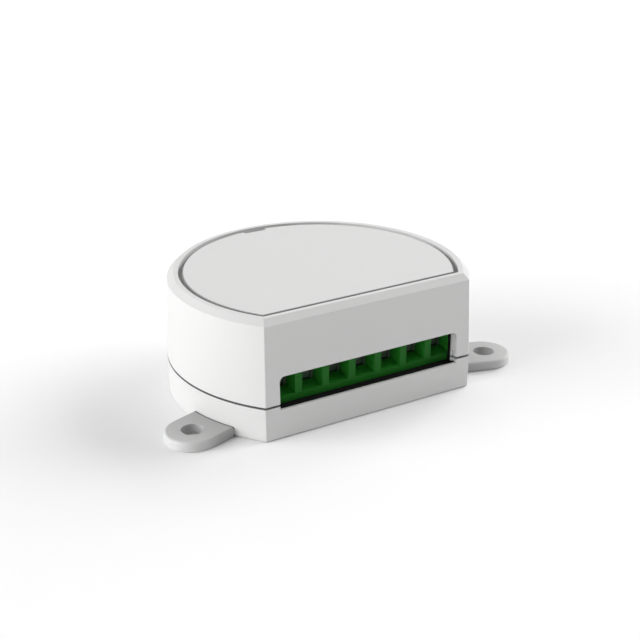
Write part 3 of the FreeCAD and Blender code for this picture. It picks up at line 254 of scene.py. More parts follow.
def painted_seam_and_ear_shade():
    """Painted shade in the parting line and round the lid, on the ears towards the wall, and in the
    fold where the ears meet the wall.
    """
    tree, given, result = new_group("Settled dust", {}, "Seams", "Ears", "Crease")
    axes = add(tree, "ShaderNodeSeparateXYZ", None, Vector=given["Place"]).outputs
    inward = maths(tree, "SUBTRACT", axes["Y"], ROUND_CENTRE_Y)
    reach = maths(tree, "SQRT", maths(tree, "ADD", maths(tree, "MULTIPLY", axes["X"], axes["X"]),
                                      maths(tree, "MULTIPLY", inward, inward)))
    # Painted shade along the parting line
    away = maths(tree, "ABSOLUTE", maths(tree, "SUBTRACT", axes["Z"], PARTING_HEIGHT))
    parting = spread(tree, away, 0.18 * MM, 0.23 * MM, 0.77, 0.0)

    # Painted shade on the lid's side and most of its rounded edge, less towards the rear, and
    # nothing of its recess
    lid_low, lid_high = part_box("lid")
    lid_radius = lid_high.x
    masks = ((reach, lid_radius + 0.05 * MM, lid_radius + 0.10 * MM, 1.0, 0.0),
             (axes["Y"], lid_low.y - 0.10 * MM, lid_low.y - 0.05 * MM, 0.0, 1.0),
             (axes["Z"], lid_high.z - 0.12 * MM, lid_high.z - 0.015 * MM, 1.0, 0.0),
             (axes["Z"], lid_high.z - 0.60 * MM, lid_high.z - 0.55 * MM, 0.0, 1.0),
             (axes["Y"], -18.0 * MM, 18.0 * MM, 1.0, 0.45))
    lid_side = 1.0
    for mask in masks:
        lid_side = maths(tree, "MULTIPLY", spread(tree, *mask), lid_side)

    # Painted shade on the ears, darker towards the wall, and in the fold where they meet the wall,
    # along their top and at the floor
    outside = spread(tree, reach, ROUND_RADIUS + 0.02 * MM, ROUND_RADIUS + 0.05 * MM, 0.0, 1.0)
    fade = spread(tree, reach, ROUND_RADIUS, ROUND_RADIUS + 8.5 * MM, 1.0, 0.12)
    # Painted shade in the fold where the ears meet the wall
    fold = spread(tree, reach, ROUND_RADIUS + 0.20 * MM, ROUND_RADIUS + 0.45 * MM, 1.0, 0.0)
    top = spread(tree, axes["Z"], EAR_TOP - 0.35 * MM, EAR_TOP - 0.10 * MM, 0.0, 1.0)
    foot = spread(tree, axes["Z"], 0.30 * MM, 0.60 * MM, 1.0, 0.0)
    fold = maths(tree, "MULTIPLY", fold, maths(tree, "MAXIMUM", top, foot))
    return put_out(tree, result, Seams=maths(tree, "MAXIMUM", parting, lid_side),
                   Ears=maths(tree, "MULTIPLY", outside, fade),
                   Crease=maths(tree, "MULTIPLY", outside, fold))


GROUP_MAKERS = {"Moulded skin": moulded_skin, "Fine scratches": fine_scratches,
                "Copper layout": copper_layout, "Settled dust": painted_seam_and_ear_shade}


def use_group(tree, name, **inputs):
    """Place a shared effect in a material, and build it the first time."""
    shared = bpy.data.node_groups.get(name) or GROUP_MAKERS[name]()
    return add(tree, "ShaderNodeGroup", {"node_tree": shared}, **inputs)


# Finishes by the names given here, because the loaded frame has materials of the same names
FINISHES = {}


def start_material(name):
    """A new material with its place on the object, its shader and nothing else."""
    made = FINISHES[name] = bpy.data.materials.new(name)
    made.use_nodes = True
    tree = made.node_tree
    tree.nodes.clear()
    place = tree.nodes.new("ShaderNodeTexCoord").outputs["Object"]
    shader = tree.nodes.new("ShaderNodeBsdfPrincipled")
    output = tree.nodes.new("ShaderNodeOutputMaterial")
    tree.links.new(shader.outputs[0], output.inputs["Surface"])
    return made, tree, place, shader


def opened(material):
    """A material's tree, its place on the object, its shader and the tone it has now."""
    tree = material.node_tree
    place = next(node for node in tree.nodes if node.type == "TEX_COORD").outputs["Object"]
    shader = next(node for node in tree.nodes if node.type == "BSDF_PRINCIPLED")
    return tree, place, shader, shader.inputs["Base Color"].links[0].from_socket


def dull(material, level):
    """Weaken a material's reflections."""
    opened(material)[2].inputs["Specular IOR Level"].default_value = level
    return material


def dress(tree, shader, tone, gloss, relief):
    """Connect a tone, a roughness as mask and range, and a relief as height and depth."""
    feed(tree, shader.inputs["Base Color"], tone)
    if gloss:
        mask, low, high = gloss
        feed(tree, shader.inputs["Roughness"], spread(tree, mask, 0.0, 1.0, low, high))
    height, depth = relief
    bump = add(tree, "ShaderNodeBump", None, Height=height, Distance=depth, Strength=1.0)
    feed(tree, shader.inputs["Normal"], bump.outputs[0])


def shade(base, factor):
    return tuple(min(1.0, part * factor) for part in base)


def moulded_plastic(name, base, roughness, grain=0.2 * MM, depth=0.004 * MM, patch=0.04):
    """Moulded plastic with a fine grain and slow patches of tone and gloss."""
    made, tree, place, shader = start_material(name)
    skin = use_group(tree, "Moulded skin", Place=place, Grain=1.0 / grain, Patch=110.0)
    patches = skin.outputs["Patches"]
    tone = between(tree, patches, shade(base, 1.0 - patch), shade(base, 1.0 + patch))
    dress(tree, shader, tone, (patches, roughness - 0.04, roughness + 0.05),
          (skin.outputs["Height"], depth))
    shader.inputs["IOR"].default_value = 1.5
    return made


def case_plastic(looks):
    """White plastic of the case, with painted shade in its seams, round the lid, on the ears
    towards the wall and in the fold where they meet it.
    """
    base = tuple(looks.shell)
    made = dull(moulded_plastic("case_plastic", base, looks.roughness, looks.grain,
                                looks.grain_depth, 0.006), 0.22)
    tree, place, shader, tone = opened(made)
    painted_shade = use_group(tree, "Settled dust", Place=place)
    dark, crease_shade = shade(base, 0.04), 0.75
    # Painted shade on the ears, in their fold at the wall, and in the seams, mixed towards a near
    # black
    for mask, amount in (("Ears", looks.ear_shade), ("Crease", crease_shade), ("Seams", looks.painted_shade)):
        tone = between(tree, maths(tree, "MULTIPLY", painted_shade.outputs[mask], amount), tone, dark)
    feed(tree, shader.inputs["Base Color"], tone)
    return made


def terminal_plastic(looks):
    """Green plastic of the terminal block, with painted shade on its front faces."""
    made = dull(moulded_plastic("terminal_plastic", tuple(looks.housing), looks.roughness,
                                0.25 * MM, 0.006 * MM, 0.10), 0.12)
    tree, place, shader, tone = opened(made)
    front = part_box("terminal_housing")[0].y
    depth = add(tree, "ShaderNodeSeparateXYZ", None, Vector=place).outputs["Y"]
    # Painted shade: the front faces take the darker front colour
    front_shade = spread(tree, depth, front + 0.05 * MM, front + 0.10 * MM, 0.85, 0.0)
    feed(tree, shader.inputs["Base Color"], between(tree, front_shade, tone, tuple(looks.front)))
    return made


def plated_metal(name, base, roughness, fineness=0.25 * MM, metallic=1.0):
    """Plated or bare metal with hair scratches and a slow change of gloss."""
    made, tree, place, shader = start_material(name)
    marks = use_group(tree, "Fine scratches", Place=place, Fineness=1.0 / fineness)
    tone = between(tree, marks.outputs["Wipe"], shade(base, 0.86), shade(base, 1.08))
    bright = maths(tree, "MULTIPLY", marks.outputs["Lines"], 0.5)
    dress(tree, shader, between(tree, bright, tone, shade(base, 1.25)),
          (marks.outputs["Wipe"], roughness - 0.07, roughness + 0.08),
          (marks.outputs["Lines"], 0.004 * MM))
    shader.inputs["Metallic"].default_value = metallic
    return made


def lacquered_board(name, looks, across="Z"):
    """Green lacquered circuit board with copper under the lacquer and a cut edge."""
    made, tree, place, shader = start_material(name)
    if across == "Y":
        place = add(tree, "ShaderNodeMapping", None, Vector=place,
                    Rotation=(math.pi / 2, 0.0, 0.0)).outputs[0]
    layout = use_group(tree, "Copper layout", Place=place, Density=1.0 / looks.track_pitch)
    skin = use_group(tree, "Moulded skin", Place=place, Grain=9000.0, Patch=160.0)
    tone = between(tree, layout.outputs["Copper"], tuple(looks.mask), tuple(looks.track))
    tone = between(tree, layout.outputs["Vias"], tone, (0.55, 0.52, 0.44))
    level = tree.nodes.new("ShaderNodeNewGeometry")
    facing = add(tree, "ShaderNodeSeparateXYZ", None, Vector=level.outputs["Normal"])
    edge = spread(tree, maths(tree, "ABSOLUTE", facing.outputs[across]), 0.5, 0.6, 1.0, 0.0)
    laminate = tuple(looks.laminate)
    weave = between(tree, skin.outputs["Specks"], shade(laminate, 0.75), laminate)
    dress(tree, shader, between(tree, edge, tone, weave), (edge, 0.22, 0.75),
          (layout.outputs["Height"], 0.03 * MM))
    return made


def banded_coat(name, base, middle, half):
    """Coated resistor standing upright, with four coloured value bands round it."""
    made, tree, place, shader = start_material(name)
    skin = use_group(tree, "Moulded skin", Place=place, Grain=5000.0, Patch=300.0)
    height = add(tree, "ShaderNodeSeparateXYZ", None, Vector=place).outputs["Z"]
    tone = between(tree, skin.outputs["Patches"], shade(base, 0.92), shade(base, 1.06))
    brown, black, gold = (0.08, 0.05, 0.02), (0.012, 0.012, 0.012), (0.45, 0.30, 0.06)
    for along, ink in ((-0.55, brown), (-0.28, black), (-0.01, black), (0.5, gold)):
        away = maths(tree, "ABSOLUTE", maths(tree, "SUBTRACT", height, middle + along * half))
        mask = spread(tree, away, 0.30 * MM, 0.34 * MM, 1.0, 0.0)
        tone = between(tree, mask, tone, ink)
    dress(tree, shader, tone, None, (skin.outputs["Height"], 0.01 * MM))
    shader.inputs["Roughness"].default_value = 0.5
    return made


def sleeved_can(name, base, node, direction):
    """Shrink sleeve with a pale stripe down one side of a capacitor can."""
    made = moulded_plastic(name, base, 0.28, 0.6 * MM, 0.006 * MM, 0.15)
    tree, place, shader, tone = opened(made)
    low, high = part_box(node)
    middle, radius = (Vector(low) + Vector(high)) / 2, (high[0] - low[0]) / 2
    turn = math.radians(direction)
    axes = add(tree, "ShaderNodeSeparateXYZ", None, Vector=place).outputs
    ahead = [maths(tree, "MULTIPLY", maths(tree, "SUBTRACT", axes[axis], start), share)
             for axis, start, share in (("X", middle.x, math.cos(turn)),
                                        ("Y", middle.y, math.sin(turn)))]
    across = maths(tree, "ADD", *ahead)
    stripe = spread(tree, across, 0.895 * radius, 0.905 * radius, 0.0, 1.0)
    feed(tree, shader.inputs["Base Color"], between(tree, stripe, tone, (0.42, 0.43, 0.46)))
    return made


def clear_moulding(name, base, roughness):
    """Clear moulded plastic with faint flow lines."""
    made, tree, place, shader = start_material(name)
    skin = use_group(tree, "Moulded skin", Place=place, Grain=2500.0, Patch=220.0)
    patches = skin.outputs["Patches"]
    dress(tree, shader, between(tree, patches, shade(base, 0.96), base),
          (patches, roughness, roughness + 0.05), (skin.outputs["Height"], 0.002 * MM))
    shader.inputs["Transmission Weight"].default_value = 0.9
    shader.inputs["IOR"].default_value = 1.49
    return made


# Modelling

# A direction counts as along an axis from this share on
ALONG = 0.9


def let_go():
    """Back to object mode with nothing selected."""
    if bpy.context.mode != "OBJECT":
        bpy.ops.object.mode_set(mode="OBJECT")
    bpy.ops.object.select_all(action="DESELECT")


def hold(*pieces):
    """Select only these pieces, the first one active."""
    let_go()
    for piece in pieces:
        piece.select_set(True)
    bpy.context.view_layer.objects.active = pieces[0]


def drop(piece):
    """Remove a piece that has done its work."""
    hold(piece)
    bpy.ops.object.delete()


def settle(piece):
    """Move a piece's place, turn and size into its mesh."""
    hold(piece)
    bpy.ops.object.transform_apply(location=True, rotation=True, scale=True)
    return piece


def block(low, high):
    """Start a piece from a box between two corners, in millimetres."""
    let_go()
    low, high = Vector(low) * MM, Vector(high) * MM
    bpy.ops.mesh.primitive_cube_add(size=1.0, location=(low + high) / 2, scale=high - low)
    return settle(bpy.context.object)


def rod(middle, radius, height, sides=24):
    """Start a piece from an upright round bar, in millimetres."""
    let_go()
    bpy.ops.mesh.primitive_cylinder_add(vertices=sides, radius=radius * MM, depth=height * MM,
                                        location=Vector(middle) * MM)
    return settle(bpy.context.object)


def pick(piece, kind, test):
    """In edit mode, select faces or edges by their middle in millimetres and their direction."""
    if bpy.context.mode == "OBJECT" or bpy.context.object != piece:
        hold(piece)
        bpy.ops.object.mode_set(mode="EDIT")
    bpy.ops.mesh.select_mode(type=kind)
    bpy.ops.mesh.select_all(action="DESELECT")
    mesh = bmesh.from_edit_mesh(piece.data)
    mesh.normal_update()
    for part in list(mesh.faces if kind == "FACE" else mesh.edges):
        corners = [corner.co for corner in part.verts]
        direction = part.normal if kind == "FACE" else (corners[1] - corners[0]).normalized()
        if test(sum(corners, Vector()) / len(corners) / MM, direction):
            part.select_set(True)
    bmesh.update_edit_mesh(piece.data)


def everything(middle, direction):
    return True


def faces_up(middle, normal):
    return normal.z > ALONG


def faces_down(middle, normal):
    return normal.z < -ALONG


def along_z(middle, direction):
    return abs(direction.z) > ALONG


def push(piece, step, widen=None):
    """Extrude what is selected by a step in millimetres, and resize it about its middle."""
    bpy.ops.mesh.extrude_region_move(TRANSFORM_OT_translate={"value": Vector(step) * MM})
    if widen:
        spots = [spot.co for spot in bmesh.from_edit_mesh(piece.data).verts if spot.select]
        bpy.ops.transform.resize(value=widen, center_override=sum(spots, Vector()) / len(spots))


def sink(piece, test, rim, step, widen=None):
    """Push the inner part of the faces that pass a test, inside a rim of one width."""
    pick(piece, "FACE", test)
    bpy.ops.mesh.inset(thickness=rim * MM)
    push(piece, step, widen)


def soften(piece, test, offset, segments=2):
    """Bevel the edges that pass a test."""
    pick(piece, "EDGE", test)
    bpy.ops.mesh.bevel(offset=offset * MM, segments=segments)


def cut(piece, place, direction, **more):
    """Cut a whole piece along a plane through a place in millimetres."""
    pick(piece, "FACE", everything)
    bpy.ops.mesh.bisect(plane_co=Vector(place) * MM, plane_no=direction, **more)


def open_through(piece, test, rim):
    """Open a hole through two facing sides, inside a rim of one width."""
    pick(piece, "FACE", test)
    bpy.ops.mesh.inset(thickness=rim * MM, use_individual=True)
    bpy.ops.mesh.bridge_edge_loops()


def joined(pieces):
    hold(*pieces)
    bpy.ops.object.join()
    return bpy.context.object


def copies(piece, moves):
    """Copy a piece once for each move, and join the copies."""
    made = []
    for move in moves:
        hold(piece)
        bpy.ops.object.duplicate()
        move()
        made.append(bpy.context.object)
    drop(piece)
    return settle(joined(made))


def repeat(piece, steps):
    """Stand a copy of a piece at each step from where it is, in millimetres."""
    return copies(piece, [lambda step=step: bpy.ops.transform.translate(value=Vector(step) * MM)
                          for step in steps])


def spare(piece, step):
    """A copy of a piece, with its own mesh, a step in millimetres away."""
    hold(piece)
    bpy.ops.object.duplicate()
    bpy.ops.transform.translate(value=Vector(step) * MM)
    return settle(bpy.context.object)


def turned(piece, centre, angles):
    """Stand copies of a piece round an upright axis, at angles in degrees."""
    return copies(piece, [lambda angle=angle: bpy.ops.transform.rotate(
        value=math.radians(angle), orient_axis="Z", center_override=Vector(centre) * MM)
        for angle in angles])


def finish_piece(piece, name, body, material, angle=32.0):
    """Name a piece, shade it, and say what it rides on and what it is made of."""
    settle(piece)
    piece.name = piece.data.name = name
    bpy.ops.object.shade_smooth_by_angle(angle=math.radians(angle))
    piece.data.materials.clear()
    piece.data.materials.append(FINISHES[material])
    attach(piece, body)
    return piece


def span(node):
    """A node's low and high corners, in millimetres."""
    low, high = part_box(node)
    return Vector(low) / MM, Vector(high) / MM


def paint(material, *names):
    """Give CAD nodes a material through their slots."""
    for name in names:
        holder = NODES[name].data.materials
        for index in range(len(holder)):
            holder[index] = material


def numbered(name):
    return [f"{name}_{n}" for n in range(1, POLES + 1)]


class UNIT_OT_finish_case(bpy.types.Operator):
    """Give the two shells, the lid and the button their moulded finish"""
    bl_idname = "control_unit.finish_case"
    bl_label = "Finish Case"

    def execute(self, context):
        looks = context.scene.control_unit_case
        paint(case_plastic(looks), "base_shell", "top_shell", "lid")
        paint(moulded_plastic("button_plastic", tuple(looks.button), 0.42),
              "programming_button", "switch_plunger")
        return {"FINISHED"}


class UNIT_OT_finish_terminals(bpy.types.Operator):
    """Give the terminal block, its screws, cages and contacts their finish"""
    bl_idname = "control_unit.finish_terminals"
    bl_label = "Finish Terminals"

    def execute(self, context):
        looks = context.scene.control_unit_terminals
        paint(terminal_plastic(looks), "terminal_housing")
        paint(plated_metal("screw_steel", tuple(looks.screw), 0.30), *numbered("terminal_screw"))
        paint(dull(plated_metal("cage_steel", tuple(looks.cage), 0.66, metallic=0.25), 0.15),
              *numbered("clamp_cage"))
        paint(plated_metal("tinned_copper", tuple(looks.contact), 0.45), "terminal_contacts")
        return {"FINISHED"}


# Moulded finishes: colour, roughness, grain and its depth in millimetres, patches, and nodes
MOULDED = {
    "relay_case": ((0.022, 0.022, 0.025), 0.42, 0.20, 0.004, 0.04, "relay_left relay_right"),
    "film_case": ((0.66, 0.58, 0.36), 0.40, 0.20, 0.004, 0.05, "film_capacitor"),
    "varistor_coat": ((0.035, 0.13, 0.38), 0.30, 0.50, 0.020, 0.08, "varistor"),
    "ferrite": ((0.045, 0.045, 0.048), 0.62, 0.12, 0.020, 0.12, "choke_core transformer_core"),
    "led": ((0.86, 0.86, 0.78), 0.25, 0.20, 0.004, 0.04, "indicator_led"),
    "black_plastic": ((0.020, 0.020, 0.021), 0.45, 0.20, 0.004, 0.04,
                      "switch_case transformer_bobbin"),
    "chip": ((0.018, 0.018, 0.019), 0.55, 0.15, 0.010, 0.12,
             "power_chip radio_chip controller_chip rectifier_diodes"),
}

# Metal finishes: colour, roughness, metallic share, and nodes, or none where new pieces wear them
METALS = {
    "zinc_steel": ((0.62, 0.62, 0.60), 0.36, 1.0, "board_screws"),
    "crystal_can": ((0.70, 0.70, 0.68), 0.24, 1.0, "crystal"),
    "antenna_wire": ((0.55, 0.24, 0.09), 0.26, 1.0, "antenna"),
    "enamelled_wire_turns": ((0.50, 0.20, 0.07), 0.24, 0.8, ""),
    "bare_aluminium": ((0.74, 0.74, 0.75), 0.30, 1.0, ""),
    "solder": ((0.66, 0.66, 0.65), 0.26, 1.0, ""),
}

# Side of each capacitor can where its sleeve has the pale stripe, in degrees from the +X axis
STRIPES = {"reservoir_capacitor": -100.0, "output_capacitor": 100.0}


class UNIT_OT_finish_board(bpy.types.Operator):
    """Give the circuit boards and what stands on them their finish"""
    bl_idname = "control_unit.finish_board"
    bl_label = "Finish Board"

    def execute(self, context):
        looks = context.scene.control_unit_board
        paint(lacquered_board("board", looks), "circuit_board")
        paint(lacquered_board("board_upright", looks, "Y"), "radio_board")
        moulded_plastic("board_ink", tuple(looks.ink), 0.6, 0.3 * MM, 0.004 * MM, 0.06)
        for name, (base, roughness, grain, depth, patch, nodes) in MOULDED.items():
            paint(moulded_plastic(name, base, roughness, grain * MM, depth * MM, patch),
                  *nodes.split())
        for name, (base, roughness, metallic, nodes) in METALS.items():
            paint(plated_metal(name, base, roughness, metallic=metallic), *nodes.split())
        low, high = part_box("fuse_resistor")
        paint(banded_coat("resistor_coat", (0.26, 0.32, 0.34), (low.z + high.z) / 2,
                          (high.z - low.z) / 2), "fuse_resistor")
        paint(clear_moulding("clear_plastic", (0.90, 0.93, 0.94), 0.10), "light_pipe")
        for node, direction in STRIPES.items():
            name = "can_" + node.split("_")[0]
            paint(sleeved_can(name, (0.020, 0.024, 0.040), node, direction), node)
        return {"FINISHED"}


class UNIT_OT_shade_window_gap(bpy.types.Operator):
    """Fit a near black ring and strip between the terminal block and the window, as painted shade
    in that gap
    """
    bl_idname = "control_unit.seal_window"
    bl_label = "Seal Window"

    def execute(self, context):
        # Near black material that stands in for the shade in the gap round the block
        dull(moulded_plastic("black_foam", (0.010, 0.010, 0.010), 0.9, 0.3 * MM, 0.05 * MM, 0.2),
             0.08)
        block_low, block_high = span("terminal_housing")
        front = block_low.y - 0.01
        ring_inset, ring_depth, ring_width = 0.2, 0.54, 0.68
        ring = block((block_low.x + ring_inset, front - ring_depth, 4.40),
                     (block_high.x - ring_inset, front, 11.20))
        open_through(ring, lambda middle, normal: abs(normal.y) > ALONG, ring_width)
        soften(ring, lambda middle, run: abs(run.y) < 0.1, 0.05)

        # The strip lies on the sill, and its front part reaches into the window's corners
        half, reach, low, high = 16.62, 1.64, 5.09, 5.20
        corner_reach, corner_half = 1.19, 0.34
        strip = block((-half, front - reach, low), (half, front - 0.3, high))
        cut(strip, (0.0, front - corner_reach, 0.0), (0.0, 1.0, 0.0))
        for side in (-1, 1):
            pick(strip, "FACE", lambda middle, normal: normal.x * side > ALONG
                 and middle.y < front - corner_reach - 0.01)
            push(strip, (side * corner_half, 0.0, 0.0))
        soften(strip, lambda middle, run: middle.z > high - 0.01 and abs(run.x) > ALONG
               and middle.y < front - 1.5, 0.04)
        finish_piece(joined([ring, strip]), "window_seal", "housing", "black_foam")
        return {"FINISHED"}


class UNIT_OT_guard_cages(bpy.types.Operator):
    """Hang a thin steel wire guard in the mouth of each clamp cage"""
    bl_idname = "control_unit.guard_cages"
    bl_label = "Guard Cages"

    def execute(self, context):
        low, high = span("clamp_cage_1")
        middle = (low + high) / 2
        half, set_back, thickness, clearance = 1.27, 0.35, 0.12, 0.75
        bend = high.z - 1.0
        leaf = block((middle.x - half, low.y + set_back, low.z + clearance),
                     (middle.x + half, low.y + set_back + thickness, high.z - 0.25))
        soften(leaf, lambda place, run: abs(run.y) > ALONG and place.z < middle.z, 0.45, 4)
        cut(leaf, (0.0, 0.0, bend), (0.0, 0.0, 1.0))
        sink(leaf, lambda place, normal: normal.y < -ALONG and place.z < bend - 0.1, 0.35,
             (0.0, 0.05, 0.0))
        for pole in range(1, POLES + 1):
            guard = spare(leaf, span(f"clamp_cage_{pole}")[0] - low)
            finish_piece(guard, f"wire_guard_{pole}", f"cage_{pole}", "cage_steel")
        drop(leaf)
        return {"FINISHED"}


class UNIT_OT_wind_choke(bpy.types.Operator):
    """Wind the choke with one layer of enamelled wire in place of the plain winding"""
    bl_idname = "control_unit.wind_choke"
    bl_label = "Wind Choke"

    def execute(self, context):
        low, high = span("choke_winding")
        axis = (low + high) / 2
        wire, turns = 0.225, 11
        reach = (high.x - low.x) / 2 - wire
        lead = (high.z - low.z - 2 * wire) / turns
        let_go()
        bpy.ops.object.empty_add(location=(axis.x * MM, axis.y * MM, 0.0))
        centre = context.object
        let_go()
        bpy.ops.mesh.primitive_circle_add(
            vertices=8, radius=wire * MM, rotation=(math.pi / 2, 0.0, 0.0),
            location=((axis.x + reach) * MM, axis.y * MM, (low.z + wire) * MM))
        coil = settle(context.object)
        screw = coil.modifiers.new("turns", "SCREW")
        screw.object = centre
        screw.angle = 2 * math.pi
        screw.screw_offset = lead * MM
        screw.iterations = turns
        screw.steps = screw.render_steps = 24
        screw.use_merge_vertices = False
        bpy.ops.object.modifier_apply(modifier=screw.name)
        drop(centre)
        pick(coil, "FACE", everything)
        bpy.ops.mesh.select_all(action="SELECT")
        bpy.ops.mesh.fill_holes(sides=0)
        bpy.ops.mesh.select_all(action="SELECT")
        bpy.ops.mesh.normals_make_consistent(inside=False)
        coil = finish_piece(coil, "choke_turns", "housing",
                            "enamelled_wire_turns", 60.0)
        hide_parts("choke_winding")
        return {"FINISHED"}


class UNIT_OT_wind_transformer(bpy.types.Operator):
    """Wind the transformer's bobbin turn by turn in place of the plain winding"""
    bl_idname = "control_unit.wind_transformer"
    bl_label = "Wind Transformer"

    def execute(self, context):
        low, high = span("transformer_winding")
        middle = (low + high) / 2
        reach = high - middle
        turns, wall, corner, groove = 12, 0.85, 0.6, (0.955, 0.965, 1.0)
        half_lead = (high.z - low.z) / turns / 2

        def outside(place):
            return (abs(place.x - middle.x) > reach.x - corner / 2
                    or abs(place.y - middle.y) > reach.y - corner / 2)

        coil = block(low, high)
        open_through(coil, along_z, wall)
        soften(coil, lambda place, run: along_z(place, run) and outside(place), corner, 4)
        for step in range(1, 2 * turns):
            cut(coil, (0.0, 0.0, low.z + step * half_lead), (0.0, 0.0, 1.0))
        for step in range(0, 2 * turns + 1, 2):
            level = low.z + step * half_lead
            pick(coil, "EDGE", lambda place, run: abs(place.z - level) < 0.01
                 and abs(run.z) < 0.1 and outside(place))
            bpy.ops.transform.resize(value=groove,
                                     center_override=Vector((middle.x, middle.y, level)) * MM)
        coil = finish_piece(coil, "transformer_turns", "housing",
                            "enamelled_wire_turns", 50.0)
        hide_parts("transformer_winding")
        return {"FINISHED"}


# Pins that are soldered under the main board: x and y in millimetres
PINS = ((-19.6, -9.0), (-19.6, -1.2), (19.6, -9.0), (19.6, -1.2), (-4.75, -9.4), (-4.75, -0.8),
        (4.75, -9.4), (4.75, -0.8), (12.0, -5.0), (-17.2, 3.65), (-7.2, 3.65), (-3.33, 2.85),
        (0.17, 2.85), (3.42, 3.75), (6.42, 3.75), (-20.42, 2.45), (13.1, 1.9), (18.1, 1.9),
        (13.1, 6.0), (18.1, 6.0), (-2.5, 8.2), (2.5, 8.2), (-2.5, 14.2), (2.5, 14.2),
        (-15.25, 10.0), (-12.75, 10.0), (-9.9, 13.4), (-7.9, 13.4), (11.45, 13.82))
# Tails of the terminal contacts: their row and their spacing
TAIL_ROW = -12.925
TAIL_PITCH = 5
# Each step down a solder cone, and how far it narrows
CONE_STEPS = ((0.12, 0.66), (0.20, 0.62), (0.26, 0.72), (0.07, 0.55))


class UNIT_OT_solder_board(bpy.types.Operator):
    """Solder every pin and tail under the main board, and the foot of the radio board"""
    bl_idname = "control_unit.solder_board"
    bl_label = "Solder Board"

    def execute(self, context):
        low, high = span("circuit_board")
        cone = rod((0.0, 0.0, low.z - 0.03), 0.72, 0.08, 14)
        pick(cone, "FACE", faces_down)
        for down, narrow in CONE_STEPS:
            push(cone, (0.0, 0.0, -down), (narrow, narrow, 1.0))
        side = POLES // 2
        tails = [(TAIL_PITCH * n, TAIL_ROW) for n in range(-side, side + 1)]
        joints = repeat(cone, [(x, y, 0.0) for x, y in (*PINS, *tails)])

        radio_low, radio_high = span("radio_board")
        first, width, run_out, rise, pitch = 1.0, 0.7, 0.45, 0.62, 1.35
        foot = block((radio_low.x + first, radio_high.y - 0.02, high.z - 0.01),
                     (radio_low.x + first + width, radio_high.y + run_out, high.z + rise))
        pick(foot, "EDGE", lambda middle, run: abs(run.x) > ALONG and middle.z > high.z + 0.5
             and middle.y > radio_high.y + 0.3)
        bpy.ops.mesh.bevel(offset=0.40 * MM, segments=3, profile=0.25)
        row = repeat(foot, [(pitch * n, 0.0, 0.0) for n in range(7)])
        feet = turned(row, (radio_low + radio_high) / 2, (0.0, 180.0))
        finish_piece(joined([joints, feet]), "solder_joints", "housing", "solder")
        return {"FINISHED"}


class UNIT_OT_trim_relays(bpy.types.Operator):
    """Add the raised top plate, the vent nib and the base skirt of each relay"""
    bl_idname = "control_unit.trim_relays"
    bl_label = "Trim Relays"

    def execute(self, context):
        margin, plate_rise, nib_inset, skirt_out, skirt_rise = 1.1, 0.16, 2.6, 0.14, 0.7
        for side in ("left", "right"):
            low, high = span("relay_" + side)
            plate = block((low.x + margin, low.y + margin, high.z - 0.02),
                          (high.x - margin, high.y - margin, high.z + plate_rise))
            soften(plate, along_z, 0.5, 4)
            sink(plate, faces_up, 0.35, (0.0, 0.0, -0.07))
            nib = rod((low.x + nib_inset, high.y - nib_inset, high.z + 0.18), 0.55, 0.26, 20)
            sink(nib, faces_up, 0.16, (0.0, 0.0, -0.10), (0.8, 0.8, 1.0))
            skirt = block((low.x - skirt_out, low.y - skirt_out, low.z + 0.02),
                          (high.x + skirt_out, high.y + skirt_out, low.z + skirt_rise))
            soften(skirt, along_z, 0.3, 3)
            soften(skirt, lambda middle, run: middle.z > low.z + skirt_rise - 0.1, 0.08)
            groove = block((low.x + 3.0, low.y - 0.05, low.z + 4.0),
                           (high.x - 3.0, low.y + 0.2, high.z - 2.0))
            sink(groove, lambda middle, normal: normal.y < -ALONG, 0.3, (0.0, 0.04, 0.0))
            finish_piece(joined([plate, nib, skirt, groove]), f"relay_{side}_trim", "housing",
                         "relay_case")
        return {"FINISHED"}


class UNIT_OT_top_cans(bpy.types.Operator):
    """Add the bare scored tops and the crimped rims of the capacitor cans"""
    bl_idname = "control_unit.top_cans"
    bl_label = "Top Capacitor Cans"

    def execute(self, context):
        rim_inset, rim_width, half_score, sides = 0.12, 0.42, 0.09, 48
        for node in STRIPES:
            low, high = span(node)
            middle, radius = (low + high) / 2, (high.x - low.x) / 2
            disc = rod((middle.x, middle.y, high.z + 0.01), radius - 0.55, 0.06, sides)
            wedge = rod((middle.x, middle.y, high.z + 0.06), radius - 0.60, 0.10, sides)
            for normal in ((1.0, 0.0, 0.0), (0.0, 1.0, 0.0)):
                cut(wedge, middle + half_score * Vector(normal), normal, use_fill=True,
                    clear_inner=True)
            soften(wedge, lambda place, run: place.z > high.z + 0.10, 0.03)
            quarters = turned(wedge, middle, (0.0, 90.0, 180.0, 270.0))
            rim = rod((middle.x, middle.y, high.z - 0.02), radius - rim_inset, 0.16, sides)
            open_through(rim, along_z, rim_width)
            soften(rim, lambda place, run: place.z > high.z, 0.05)
            finish_piece(joined([disc, quarters, rim]), node.replace("capacitor", "top"),
                         "housing", "bare_aluminium")
        return {"FINISHED"}


